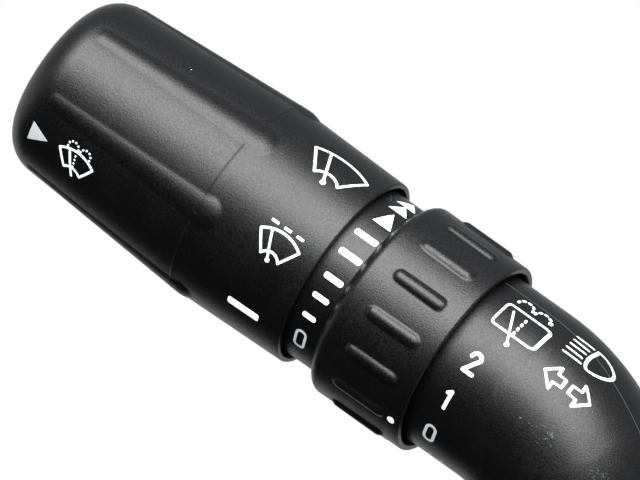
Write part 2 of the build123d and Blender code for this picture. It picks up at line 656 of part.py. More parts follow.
def rear_wiper_ring():
    """Ring with raised oblong grips, a bearing bore and a thin lip over the lever."""
    shoulder = RING_START + RING_SHOULDER_LENGTH
    ring = turned(
        [
            (RING_START, 0),
            (RING_START, RING_START_RADIUS),
            (shoulder - RING_SHOULDER_ROUND, RING_RADIUS - RING_SHOULDER_ROUND * 3 / 4),
            (shoulder, RING_RADIUS),
            (RING_END - RING_EDGE_ROUND, RING_RADIUS),
            (RING_END, RING_RADIUS - RING_EDGE_ROUND * 2 / 3),
            (RING_END, 0),
        ]
    )
    radius = crown_radius(RING_RADIUS, RING_RIB_WIDTH, RING_RIB_PROUD)
    half = RING_RIB_LENGTH / 2 - crown_run_out(radius, RING_RIB_PROUD)
    bar = capsule(RING_RIB_STATION - half, radius, RING_RIB_STATION + half, radius)
    bar = Pos(0, 0, RING_RADIUS + RING_RIB_PROUD - radius) * bar
    for index in range(RING_RIB_COUNT):
        ring += Rot(X=RING_RIB_FIRST_TURN - index * 360 / RING_RIB_COUNT) * bar
    before = RING_START - OVERCUT
    ring -= rod_x(before, RING_END, RING_BORE)
    ring -= rod_x(RING_CAVITY_START, RING_END + OVERCUT, RING_LIP_RADIUS)
    groove = rod_x(before, RING_CAVITY_START + OVERCUT, LEAF_BUMP_RADIUS + SLIDE, z=LEAF_BUMP_AXIS)
    for index in range(RING_STOP_COUNT):
        ring -= Rot(X=index * RING_STOP_STEP) * groove
    return on_grip(ring)


def ring_contact_bridge():
    """Brass arc in the ring that sweeps the tracks on the lever's shoulder."""
    arc = rod_x(0, LEAF_THICKNESS, RING_LIP_RADIUS - RING_BRIDGE_INSET)
    arc -= rod_x(-OVERCUT, LEAF_THICKNESS + OVERCUT, RING_BORE + LOOSE)
    half = RING_BRIDGE_WIDTH / 2
    arc &= block((-OVERCUT, -half, 0), (LEAF_THICKNESS + OVERCUT, half, RING_RADIUS))
    return on_grip(Pos(RING_CAVITY_START, 0, 0) * arc)


def ring_detent_spring():
    """Leaf in the spigot's recess that clicks in the ring's bore."""
    low = LEAF_STATION - LEAF_LENGTH / 2
    high = LEAF_STATION + LEAF_LENGTH / 2
    seat = SPIGOT_RADIUS - LEAF_DEPTH
    leaf = block((low, -LEAF_WIDTH / 2, seat), (high, LEAF_WIDTH / 2, seat + LEAF_THICKNESS))
    bump = rod_x(low, high, LEAF_BUMP_RADIUS, z=LEAF_BUMP_AXIS)
    return on_grip(leaf + bump)


# Lever


def lever_place(distance):
    """Point and slope of the lever's line, by distance from the grip's bend towards the root."""
    grip_arc = GRIP_BEND_RADIUS * BEND
    if distance <= 0:
        return GRIP_BEND_X + distance, GRIP_Z, 0.0
    if distance <= grip_arc:
        slope = distance / GRIP_BEND_RADIUS
        x = GRIP_BEND_X + GRIP_BEND_RADIUS * math.sin(slope)
        return x, GRIP_Z - GRIP_BEND_RADIUS * (1 - math.cos(slope)), slope
    past = distance - grip_arc
    if past <= BEND_GAP:
        x = GRIP_BEND_X + GRIP_BEND_RADIUS * math.sin(BEND) + past * math.cos(BEND)
        z = GRIP_Z - GRIP_BEND_RADIUS * (1 - math.cos(BEND)) - past * math.sin(BEND)
        return x, z, BEND
    slope = BEND - (past - BEND_GAP) / NECK_BEND_RADIUS
    if slope <= 0:
        return NECK_BEND_X - slope * NECK_BEND_RADIUS, 0.0, 0.0
    x = NECK_BEND_X - NECK_BEND_RADIUS * math.sin(slope)
    return x, NECK_BEND_RADIUS * (1 - math.cos(slope)), slope


def lever_section(distance, radius):
    """Disc square to the lever's line at a distance along it."""
    x, z, slope = lever_place(distance)
    plane = Plane(origin=(x, 0, z), x_dir=(0, 1, 0), z_dir=(math.cos(slope), 0, -math.sin(slope)))
    return plane * Circle(radius)


def swan_neck(grip_radius, neck_radius):
    """Round bar along the lever: a true bend at the grip, then it narrows to the neck."""
    centre = Axis((GRIP_BEND_X, 0, GRIP_Z - GRIP_BEND_RADIUS), (0, 1, 0))
    bend = revolve(lever_section(0, grip_radius), centre, FULL_SIZE_ANGLE)
    narrow_from = GRIP_BEND_RADIUS * math.radians(FULL_SIZE_ANGLE)
    span = LEVER_LENGTH - narrow_from
    shares = [index / BEND_SECTIONS for index in range(BEND_SECTIONS + 1)]
    shares = [0, END_SHARE] + shares[1:-1] + [1 - END_SHARE, 1]
    sections = []
    for share in shares:
        ease = share * share * (3 - 2 * share)
        radius = grip_radius + (neck_radius - grip_radius) * ease
        sections.append(lever_section(narrow_from + span * share, radius))
    return bend + loft(sections)


def lever_body():
    """The lever's whole skin, before it is split into a front and a rear shell."""
    rim = RIM_X
    body = swan_neck(GRIP_RADIUS, NECK_RADIUS)
    body += rod_x(rim + SPIGOT_END, GRIP_BEND_X, GRIP_RADIUS, z=GRIP_Z)
    body += rod_x(rim + BAND_END, rim + SPIGOT_END, SPIGOT_RADIUS, z=GRIP_Z)
    body += rod_x(NECK_BEND_X, ROOT_COLLAR_START, NECK_RADIUS)
    hollow = swan_neck(GRIP_RADIUS - SHELL_WALL, NECK_RADIUS - NECK_WALL)
    hollow += rod_x(rim + HEAD_SLEEVE_END, GRIP_BEND_X, GRIP_RADIUS - SHELL_WALL, z=GRIP_Z)
    hollow += rod_x(rim, rim + HEAD_SLEEVE_END, HEAD_SLEEVE_RADIUS + RUN, z=GRIP_Z)
    hollow += rod_x(NECK_BEND_X, ROOT_COLLAR_START + OVERCUT, NECK_RADIUS - NECK_WALL)
    body -= hollow
    half_length = LEAF_LENGTH / 2 + FACE_GAP
    recess = block(
        (rim + LEAF_STATION - half_length, -LEAF_WIDTH / 2 - LOOSE, GRIP_Z + SPIGOT_RADIUS - LEAF_DEPTH),
        (rim + LEAF_STATION + half_length, LEAF_WIDTH / 2 + LOOSE, GRIP_Z + SPIGOT_RADIUS + OVERCUT),
    )
    return body - recess


def lever_shells():
    """Front and rear shells, which meet in the upright plane through the lever."""
    body = lever_body()
    reach = -RIM_X
    front_half = block((-reach, -reach, -reach), (reach, 0, reach))
    rear_half = block((-reach, 0, -reach), (reach, reach, reach))
    seat = Pos(0, LEVER_Y, 0)
    return seat * (body & front_half), seat * (body & rear_half)


def lever_root():
    """Block at the lever's inner end, with its stem in the shells and the tipping bore."""
    root = rod_x(ROOT_COLLAR_START - ROOT_STEM_LENGTH, ROOT_COLLAR_START, NECK_RADIUS - NECK_WALL - RUN)
    root += rod_x(ROOT_COLLAR_START, ROOT_COLLAR_END, NECK_RADIUS)
    root += block(
        (ROOT_COLLAR_END, -ROOT_HALF_WIDTH, -ROOT_HALF_HEIGHT),
        (FLASH_PIVOT_X, ROOT_HALF_WIDTH, ROOT_HALF_HEIGHT),
    )
    root += Pos(FLASH_PIVOT_X, 0, 0) * Cylinder(ROOT_HALF_WIDTH, 2 * ROOT_HALF_HEIGHT)
    root -= Pos(FLASH_PIVOT_X, 0, 0) * Cylinder(
        FLASH_PIN_RADIUS + RUN, 2 * (ROOT_HALF_HEIGHT + OVERCUT)
    )
    return Pos(0, LEVER_Y, 0) * root


def ribbon_cable():
    """Flat cable from the washer switch through the lever to the root block."""
    points = [(RIM_X + SWITCH_BACK + SWITCH_CARRIER_THICKNESS, GRIP_Z)]
    for index in range(RIBBON_STEPS + 1):
        x, z, _ = lever_place(LEVER_LENGTH * index / RIBBON_STEPS)
        points.append((x, z))
    points.append((ROOT_COLLAR_START - ROOT_STEM_LENGTH, 0))
    line = Plane.XZ * FilletPolyline(*points, radius=RIBBON_BEND_RADIUS)
    section = Plane(origin=line @ 0, z_dir=line % 0) * Rectangle(RIBBON_THICKNESS, RIBBON_WIDTH)
    return Pos(0, LEVER_Y, 0) * sweep(section, path=line)


# Turning carrier


def turn_carrier():
    """Yoke that turns about Y and carries the lever's tipping pin."""
    carrier = rod_y(TURN_PIVOT_X, 0, HUB_FRONT, HUB_BACK, TURN_HUB_RADIUS)
    carrier += rod_y(
        TURN_PIVOT_X,
        0,
        HUB_FRONT - TURN_JOURNAL_LENGTH,
        HUB_BACK + TURN_JOURNAL_LENGTH,
        TURN_JOURNAL_RADIUS,
    )
    arm_low = ROOT_HALF_HEIGHT + LOOSE
    for side in (1, -1):
        edges = sorted((side * arm_low, side * (arm_low + FORK_ARM_THICKNESS)))
        arm = block(
            (FORK_TIP_X + FORK_HALF_DEPTH, LEVER_Y - FORK_HALF_DEPTH, edges[0]),
            (TURN_PIVOT_X, LEVER_Y + FORK_HALF_DEPTH, edges[1]),
        )
        arm += Pos(FORK_TIP_X + FORK_HALF_DEPTH, LEVER_Y, (edges[0] + edges[1]) / 2) * Cylinder(
            FORK_HALF_DEPTH, FORK_ARM_THICKNESS
        )
        carrier += arm
    carrier += block(
        (TURN_PIVOT_X, ARM_FRONT, -ARM_HALF_HEIGHT), (ARM_END_X, ARM_BACK, ARM_HALF_HEIGHT)
    )
    carrier += rod_y(PAWL_PIVOT_X, 0, PAWL_RETAINER_FRONT - SLIDE, ARM_FRONT, PAWL_PIN_RADIUS)
    carrier += rod_y(DRIVE_PEG_X, 0, ARM_BACK, ARM_BACK + DRIVE_PEG_LENGTH, DRIVE_PEG_RADIUS)
    carrier -= rod_x(DETENT_BORE_START, ARM_END_X + OVERCUT, DETENT_RADIUS + RUN, y=DETENT_Y)
    bore_length = 2 * (arm_low + FORK_ARM_THICKNESS + OVERCUT)
    carrier -= Pos(FLASH_PIVOT_X, LEVER_Y, 0) * Cylinder(FLASH_PIN_RADIUS + FIT, bore_length)
    return carrier


def flash_pivot_pin():
    """Steel pin that the lever tips on."""
    length = 2 * (ROOT_HALF_HEIGHT + LOOSE + FORK_ARM_THICKNESS)
    return Pos(FLASH_PIVOT_X, LEVER_Y, 0) * Cylinder(FLASH_PIN_RADIUS, length)


def flash_return_spring():
    """Leaf bent round the root block that brings the lever back from a tip."""
    outer = ROOT_HALF_WIDTH + FACE_GAP + LEAF_THICKNESS
    back = TURN_PIVOT_X - TURN_HUB_RADIUS - SLIDE
    front = ROOT_COLLAR_END + FLASH_LEAF_SETBACK
    leaf = block((front, -outer, -FLASH_LEAF_HALF_WIDTH), (back, outer, FLASH_LEAF_HALF_WIDTH))
    leaf -= block(
        (front - OVERCUT, -outer + LEAF_THICKNESS, -FLASH_LEAF_HALF_WIDTH - OVERCUT),
        (back - LEAF_THICKNESS, outer - LEAF_THICKNESS, FLASH_LEAF_HALF_WIDTH + OVERCUT),
    )
    return Pos(0, LEVER_Y, 0) * leaf


def turn_detent_plunger():
    """Plunger with a ball tip that clicks along the housing's cam."""
    ball = DETENT_TIP_X - DETENT_RADIUS
    plunger = rod_x(DETENT_TIP_X - DETENT_LENGTH, ball, DETENT_RADIUS)
    plunger += Pos(ball, 0, 0) * Sphere(DETENT_RADIUS)
    return Pos(0, DETENT_Y, 0) * plunger


def turn_detent_spring():
    """Spring behind the turn detent plunger."""
    radius = DETENT_RADIUS - DETENT_SPRING_WIRE - RUN
    end = DETENT_TIP_X - DETENT_LENGTH
    spring = coil(radius, DETENT_SPRING_WIRE, DETENT_BORE_START, end, DETENT_SPRING_TURNS)
    return Pos(0, DETENT_Y, 0) * spring


def cancel_pawl():
    """Finger that the steering column's cam knocks to cancel the turn."""
    half = PAWL_FINGER_HALF_WIDTH
    outline = Circle(PAWL_HUB_RADIUS)
    finger_end = PAWL_TIP_X - PAWL_PIVOT_X - half
    outline += Pos(finger_end / 2, 0) * Rectangle(finger_end, 2 * half)
    outline += Pos(finger_end, 0) * Circle(half)
    outline += Pos(-PAWL_TAIL_LENGTH / 2, 0) * Rectangle(PAWL_TAIL_LENGTH, 2 * PAWL_TAIL_HALF_WIDTH)
    outline -= Circle(PAWL_PIN_RADIUS + RUN)
    return Pos(PAWL_PIVOT_X, PAWL_BACK, 0) * extrude(Plane.XZ * outline, PAWL_THICKNESS)


def pawl_retainer():
    """Push-on washer that keeps the pawl on its pin."""
    near = PAWL_RETAINER_BACK
    far = PAWL_RETAINER_FRONT
    ring = rod_y(PAWL_PIVOT_X, 0, far, near, PAWL_PIN_RADIUS + PAWL_RETAINER_RIM)
    return ring - rod_y(PAWL_PIVOT_X, 0, far - OVERCUT, near + OVERCUT, PAWL_PIN_RADIUS + FIT)


def cancel_spring():
    """Hairpin leaf that centres the pawl's tail."""
    inner = PAWL_TAIL_HALF_WIDTH + SLIDE
    outer = inner + LEAF_THICKNESS
    start = TURN_PIVOT_X + TURN_HUB_RADIUS + SLIDE
    end = start + CANCEL_LEAF_LENGTH
    leaf = block((start, PAWL_FRONT + FACE_GAP, -outer), (end, PAWL_BACK - FACE_GAP, outer))
    return leaf - block(
        (start + LEAF_THICKNESS, PAWL_FRONT, -inner), (end + OVERCUT, PAWL_BACK, inner)
    )


# Turn contacts


def turn_contact_slider():
    """Slider moved by the carrier's peg."""
    slider = block(
        (BOARD_LEFT + SLIDE, SLIDER_TOP, -SLIDER_HALF_HEIGHT),
        (BOARD_RIGHT - SLIDE, STRIP_TOP, SLIDER_HALF_HEIGHT),
    )
    half = DRIVE_PEG_RADIUS + SLIDE
    slot_bottom = ARM_BACK + DRIVE_PEG_LENGTH + LOOSE
    slider -= block(
        (DRIVE_PEG_X - half - DRIVE_PEG_ARC_ROOM, SLIDER_TOP - OVERCUT, -half),
        (DRIVE_PEG_X + half + SLIDE, slot_bottom, half),
    )
    return slider


def turn_contact_bridge():
    """Brass strips under the slider that join the board's tracks."""
    strips = []
    half_length = SLIDER_HALF_HEIGHT - STRIP_END_INSET
    for x in (BOARD_LEFT + STRIP_INSET, BOARD_RIGHT - STRIP_INSET):
        low = (x - STRIP_WIDTH / 2, STRIP_TOP, -half_length)
        strips.append(block(low, (x + STRIP_WIDTH / 2, STRIP_TOP + STRIP_THICKNESS, half_length)))
    return Compound(children=strips)


def contact_board():
    """Board with the contact tracks on the housing's floor."""
    return block(
        (BOARD_LEFT, BOARD_TOP, -BOARD_HALF_HEIGHT), (BOARD_RIGHT, -HOUSING_FLOOR, BOARD_HALF_HEIGHT)
    )


def pin_shape(column, row, spare):
    """One bent connector pin, with room round it if spare is given."""
    half = PIN_SIZE / 2 + spare
    x = SOCKET_X + (column - (PIN_COLUMNS - 1) / 2) * PIN_PITCH
    depth = PIN_ROW_DEPTHS[row]
    foot_z = -BOARD_HALF_HEIGHT + PIN_FOOT_INSET + PIN_FOOT_PITCH * row
    foot = block((x - half, -depth - half, foot_z - half), (x + half, BOARD_TOP, foot_z + half))
    blade = block((x - half, -depth - half, PIN_END_Z), (x + half, -depth + half, foot_z + half))
    return foot + blade


def terminal_pins():
    """The connector's pins, each standing on the board and bent into the socket."""
    pins = []
    for row in range(len(PIN_ROW_DEPTHS)):
        for column in range(PIN_COLUMNS):
            pins.append(pin_shape(column, row, 0.0))
    return Compound(children=pins)


# Housing


def screw_places():
    """Centres of the cover screws, as (x, z)."""
    places = []
    for x in (HOUSING_LEFT + SCREW_INSET, HOUSING_RIGHT - SCREW_INSET):
        for z in (HOUSING_HALF_HEIGHT - SCREW_INSET, SCREW_INSET - HOUSING_HALF_HEIGHT):
            places.append((x, z))
    return places


def housing_plan(inset, front, back):
    """Rounded box of the housing's plan, drawn in by the inset."""
    width = HOUSING_RIGHT - HOUSING_LEFT - 2 * inset
    height = 2 * (HOUSING_HALF_HEIGHT - inset)
    corner = max(HOUSING_CORNER - inset, FACE_GAP)
    plan = RectangleRounded(width, height, corner)
    middle = (HOUSING_LEFT + HOUSING_RIGHT) / 2
    return Pos(middle, back, 0) * extrude(Plane.XZ * plan, back - front)


def housing_base():
    """Open box with lugs, bearing boss, detent cam, slider rails and connector socket."""
    base = housing_plan(0, COVER_INNER, 0)
    base -= housing_plan(HOUSING_WALL, COVER_INNER - OVERCUT, -HOUSING_FLOOR)
    for x, z in screw_places():
        base += rod_y(x, z, COVER_INNER, -HOUSING_FLOOR, SCREW_BOSS_RADIUS)
    for side in (1, -1):
        lug_z = side * MOUNT_SPACING / 2
        base += rod_y(0, lug_z, -LUG_THICKNESS, 0, LUG_RADIUS)
        root_z = sorted((side * (HOUSING_HALF_HEIGHT - HOUSING_WALL / 2), lug_z))
        base += block((-LUG_RADIUS, -LUG_THICKNESS, root_z[0]), (LUG_RADIUS, 0, root_z[1]))
        base -= rod_y(0, lug_z, -LUG_THICKNESS - OVERCUT, OVERCUT, BUSH_RADIUS + FIT)
        base += lug_gussets(side)
    boss_front = -HOUSING_FLOOR - JOURNAL_BOSS_HEIGHT
    bore_end = HUB_BACK + TURN_JOURNAL_LENGTH + FACE_GAP
    base += rod_y(TURN_PIVOT_X, 0, boss_front, -HOUSING_FLOOR, JOURNAL_BOSS_RADIUS)
    base -= rod_y(TURN_PIVOT_X, 0, boss_front - OVERCUT, bore_end, TURN_JOURNAL_RADIUS + RUN)
    base += detent_cam()
    base += slider_rails()
    base += connector_shroud()
    base -= block(
        (HOUSING_LEFT - OVERCUT, LEVER_Y - LEVER_SLOT_HALF_DEPTH, -LEVER_SLOT_HALF_HEIGHT),
        (HOUSING_LEFT + HOUSING_WALL + OVERCUT, LEVER_Y + LEVER_SLOT_HALF_DEPTH, LEVER_SLOT_HALF_HEIGHT),
    )
    base -= block(
        (HOUSING_RIGHT - HOUSING_WALL - OVERCUT, PAWL_FRONT - PAWL_SLOT_SPARE, -PAWL_SLOT_HALF_HEIGHT),
        (HOUSING_RIGHT + OVERCUT, PAWL_BACK + PAWL_SLOT_SPARE, PAWL_SLOT_HALF_HEIGHT),
    )
    screw_hole_end = -HOUSING_DEPTH + SCREW_LENGTH + SCREW_HOLE_SPARE
    for x, z in screw_places():
        base -= rod_y(x, z, COVER_INNER - OVERCUT, screw_hole_end, SCREW_RADIUS + RUN)
    pin_zone = block(
        (BOARD_LEFT, COVER_INNER, -HOUSING_HALF_HEIGHT - OVERCUT),
        (BOARD_RIGHT, 0, HOUSING_WALL - HOUSING_HALF_HEIGHT + OVERCUT),
    )
    for row in range(len(PIN_ROW_DEPTHS)):
        for column in range(PIN_COLUMNS):
            base -= pin_shape(column, row, RUN) & pin_zone
    return base


def lug_gussets(side):
    """Two three-cornered ribs between a lug's face and the housing's wall."""
    wall_z = HOUSING_HALF_HEIGHT - HOUSING_WALL / 2
    face_y = -LUG_THICKNESS + GUSSET_THICKNESS / 2
    outline = Polyline(
        (face_y, side * wall_z),
        (-LUG_THICKNESS - GUSSET_RISE, side * wall_z),
        (-LUG_THICKNESS - GUSSET_RISE, side * HOUSING_HALF_HEIGHT),
        (-LUG_THICKNESS, side * (HOUSING_HALF_HEIGHT + GUSSET_REACH)),
        (face_y, side * (HOUSING_HALF_HEIGHT + GUSSET_REACH)),
        close=True,
    )
    rib = extrude(Plane.YZ * make_face(outline), GUSSET_THICKNESS / 2, both=True)
    place = LUG_RADIUS - GUSSET_THICKNESS / 2
    return Pos(place, 0, 0) * rib + Pos(-place, 0, 0) * rib


def detent_cam():
    """Curved wall with three notches that the turn plunger clicks along."""
    front = ARM_FRONT + CAM_FRONT_SETBACK
    cam = block(
        (ARM_END_X, front, -CAM_HALF_HEIGHT),
        (HOUSING_RIGHT - HOUSING_WALL / 2, -HOUSING_FLOOR, CAM_HALF_HEIGHT),
    )
    cam -= rod_y(TURN_PIVOT_X, 0, front - OVERCUT, 0, CAM_RADIUS)
    for index in (-1, 0, 1):
        angle = math.radians(index * DETENT_STEP_ANGLE)
        reach = CAM_RADIUS + DETENT_NOTCH_DEPTH - DETENT_RADIUS
        x = TURN_PIVOT_X + reach * math.cos(angle)
        cam -= rod_y(x, reach * math.sin(angle), front - OVERCUT, 0, DETENT_RADIUS)
    return cam


def slider_rails():
    """Two ribs on the floor that guide the contact slider and hold the board."""
    top = STRIP_TOP - RAIL_HEIGHT
    half = BOARD_HALF_HEIGHT - RAIL_END_INSET
    rails = block((BOARD_LEFT - RAIL_LEFT_WIDTH, top, -half), (BOARD_LEFT, -HOUSING_FLOOR, half))
    rails += block((BOARD_RIGHT, top, -half), (BOARD_RIGHT + RAIL_RIGHT_WIDTH, -HOUSING_FLOOR, half))
    return rails


def connector_shroud():
    """Socket wall round the pins, below the housing."""
    outer = (SOCKET_HALF_WIDTH + SOCKET_WALL, SOCKET_HALF_DEPTH + SOCKET_WALL)
    shroud = block(
        (SOCKET_X - outer[0], -SOCKET_CENTRE_DEPTH - outer[1], SOCKET_END_Z),
        (SOCKET_X + outer[0], -SOCKET_CENTRE_DEPTH + outer[1], HOUSING_WALL / 4 - HOUSING_HALF_HEIGHT),
    )
    shroud -= block(
        (SOCKET_X - SOCKET_HALF_WIDTH, -SOCKET_CENTRE_DEPTH - SOCKET_HALF_DEPTH, SOCKET_END_Z - OVERCUT),
        (SOCKET_X + SOCKET_HALF_WIDTH, -SOCKET_CENTRE_DEPTH + SOCKET_HALF_DEPTH, -HOUSING_HALF_HEIGHT),
    )
    return shroud


def housing_cover():
    """Plate that closes the housing and carries the front bearing."""
    cover = housing_plan(0, -HOUSING_DEPTH, COVER_INNER)
    cover += rod_y(TURN_PIVOT_X, 0, COVER_INNER, COVER_INNER + JOURNAL_BOSS_HEIGHT, JOURNAL_BOSS_RADIUS)
    cover += rod_y(
        TURN_PIVOT_X, 0, -HOUSING_DEPTH - COVER_BOSS_PROUD, COVER_INNER, COVER_BOSS_RADIUS
    )
    bore_end = HUB_FRONT - TURN_JOURNAL_LENGTH - FACE_GAP
    cover -= rod_y(TURN_PIVOT_X, 0, bore_end, HUB_FRONT + OVERCUT, TURN_JOURNAL_RADIUS + RUN)
    for x, z in screw_places():
        cover -= rod_y(x, z, -HOUSING_DEPTH - OVERCUT, COVER_INNER + OVERCUT, SCREW_RADIUS + SLIDE)
    return cover


def cover_screws():
    """The four screws that hold the cover."""
    screws = []
    for x, z in screw_places():
        head = rod_y(x, z, -HOUSING_DEPTH - SCREW_HEAD_HEIGHT, -HOUSING_DEPTH, SCREW_HEAD_RADIUS)
        crown = head.edges().sort_by(Axis.Y)[0]
        head = fillet(crown, SCREW_HEAD_ROUND)
        screws.append(head + rod_y(x, z, -HOUSING_DEPTH, -HOUSING_DEPTH + SCREW_LENGTH, SCREW_RADIUS))
    return Compound(children=screws)


def mount_bushes():
    """Brass sleeves in the two lugs."""
    bushes = []
    for side in (1, -1):
        z = side * MOUNT_SPACING / 2
        bush = rod_y(0, z, -LUG_THICKNESS, 0, BUSH_RADIUS)
        bushes.append(bush - rod_y(0, z, -LUG_THICKNESS - OVERCUT, OVERCUT, MOUNT_HOLE_RADIUS))
    return Compound(children=bushes)


def save(name, shape):
    """Write one node's file."""
    export_step(shape, "parts/" + name + ".step")


front_shell, rear_shell = lever_shells()
save("lever_shell_front", front_shell)
save("lever_shell_rear", rear_shell)
for make in (
    wiper_knob,
    knob_retaining_ring,
    washer_push_rod,
    wiper_rotor,
    rotor_contact,
    washer_return_spring,
    index_band,
    rotor_circlip,
    wiper_contact_board,
    washer_switch,
    switch_carrier,
    wiper_detent_plunger,
    wiper_detent_spring,
    rear_wiper_ring,
    ring_contact_bridge,
    ring_detent_spring,
    lever_root,
    ribbon_cable,
    turn_carrier,
    flash_pivot_pin,
    flash_return_spring,
    turn_detent_plunger,
    turn_detent_spring,
    cancel_pawl,
    pawl_retainer,
    cancel_spring,
    turn_contact_slider,
    turn_contact_bridge,
    contact_board,
    terminal_pins,
    housing_base,
    housing_cover,
    cover_screws,
    mount_bushes,
):
    save(make.__name__, make())
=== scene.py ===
import json
import logging
import math
from dataclasses import dataclass, field
from enum import Enum
from typing import Callable, Sequence

import bmesh
import bpy
import numpy as np
from mathutils import Matrix, Vector


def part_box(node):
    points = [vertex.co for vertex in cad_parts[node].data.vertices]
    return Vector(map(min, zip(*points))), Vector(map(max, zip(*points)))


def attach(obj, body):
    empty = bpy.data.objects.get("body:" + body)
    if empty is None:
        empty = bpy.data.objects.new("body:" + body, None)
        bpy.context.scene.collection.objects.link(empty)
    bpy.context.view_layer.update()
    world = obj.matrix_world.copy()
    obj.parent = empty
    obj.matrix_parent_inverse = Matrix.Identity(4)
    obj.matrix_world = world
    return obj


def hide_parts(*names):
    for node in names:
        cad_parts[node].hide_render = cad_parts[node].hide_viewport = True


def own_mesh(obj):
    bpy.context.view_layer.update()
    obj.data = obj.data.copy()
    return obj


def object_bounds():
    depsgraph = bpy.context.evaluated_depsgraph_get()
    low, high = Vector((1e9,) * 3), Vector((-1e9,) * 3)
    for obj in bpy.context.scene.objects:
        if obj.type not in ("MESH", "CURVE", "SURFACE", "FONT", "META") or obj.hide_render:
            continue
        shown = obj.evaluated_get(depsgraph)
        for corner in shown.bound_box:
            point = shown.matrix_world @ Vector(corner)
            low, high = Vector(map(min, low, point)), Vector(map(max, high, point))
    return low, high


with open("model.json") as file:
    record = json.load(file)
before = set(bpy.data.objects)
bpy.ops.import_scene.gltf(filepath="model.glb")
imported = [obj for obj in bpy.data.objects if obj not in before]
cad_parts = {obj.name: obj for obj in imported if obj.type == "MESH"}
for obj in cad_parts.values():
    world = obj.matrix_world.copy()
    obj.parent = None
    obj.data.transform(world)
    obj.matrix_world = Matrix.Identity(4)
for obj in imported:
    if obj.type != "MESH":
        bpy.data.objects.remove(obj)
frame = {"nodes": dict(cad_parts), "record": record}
CAD_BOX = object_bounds()

LOG = logging.getLogger("wiper_switch")
MM = 0.001
TAU = 2 * math.pi
Point = tuple[float, float]
Row = tuple[float, float]


class Body(Enum):
    """Bodies of the part that dressed pieces ride on."""

    ROOT = "root"
    YOKE = "turn_yoke"
    DETENT = "turn_detent"
    PAWL = "pawl"
    SLIDER = "turn_slider"
    LEVER = "lever"
    PLUNGER = "wiper_detent"
    ROTOR = "rotor"
    KNOB = "knob"
    RING = "ring"


class Slot(Enum):
    """Material slots of the record that dressed pieces take their finish from."""

    KNOB = "knob_plastic"
    LEVER = "lever_plastic"
    HOUSING = "housing_plastic"
    ACETAL = "acetal"
    SWITCH = "switch_plastic"
    BOARD = "board_laminate"
    RIBBON = "ribbon_vinyl"
    SPRING = "spring_steel"
    PIN = "pin_steel"
    BRASS = "contact_brass"


def hex_linear(code: str) -> tuple[float, float, float, float]:
    """Turn an sRGB hex colour into linear light.

    Args:
        code: Colour as "#rrggbb".

    Returns:
        Linear red, green and blue, with an alpha of 1.
    """
    values = []
    for start in (1, 3, 5):
        share = int(code[start:start + 2], 16) / 255
        values.append(share / 12.92 if share <= 0.04045 else ((share + 0.055) / 1.055) ** 2.4)
    return (*values, 1.0)


def add_node(tree: bpy.types.NodeTree, kind: str, *values, inputs: dict | None = None, **settings) -> bpy.types.Node:
    """Add one node with its settings and links.

    Args:
        tree: Node tree that gets the node.
        kind: Blender's name of the node type.
        values: Values, sockets or nodes for the first inputs, None to leave one as it is.
        inputs: More of them, by socket name or number.
        settings: Properties of the node.

    Returns:
        The new node.
    """
    node = tree.nodes.new(kind)
    for name, value in settings.items():
        setattr(node, name, value)
    wanted = list(enumerate(values)) + list((inputs or {}).items())
    for key, value in wanted:
        if value is None:
            continue
        if isinstance(value, bpy.types.Node):
            value = value.outputs[0]
        if isinstance(value, bpy.types.NodeSocket):
            tree.links.new(value, node.inputs[key])
        else:
            node.inputs[key].default_value = value
    return node


# Finishes


@dataclass(frozen=True)
class Finish:
    """What every finish has: its name, its colour and how it spreads light."""

    name: str
    colour: str
    roughness: float

    def material(self) -> bpy.types.Material:
        """Make the material once, and give it again when it is asked for later.

        Returns:
            The material of this finish.
        """
        ready = bpy.data.materials.get(self.name)
        if ready is not None:
            return ready
        made = bpy.data.materials.new(self.name)
        made.use_nodes = True
        made.diffuse_color = hex_linear(self.colour)
        tree = made.node_tree
        shader = tree.nodes["Principled BSDF"]
        shader.inputs["Base Color"].default_value = hex_linear(self.colour)
        shader.inputs["Roughness"].default_value = self.roughness
        place = add_node(tree, "ShaderNodeTexCoord").outputs["Object"]
        self.dress(tree, shader, place)
        return made

    def dress(self, tree: bpy.types.NodeTree, shader: bpy.types.Node, place: bpy.types.NodeSocket) -> None:
        """Add the finish's own nodes.

        Args:
            tree: The material's node tree.
            shader: Its principled shader.
            place: Object coordinates.
        """
        raise NotImplementedError


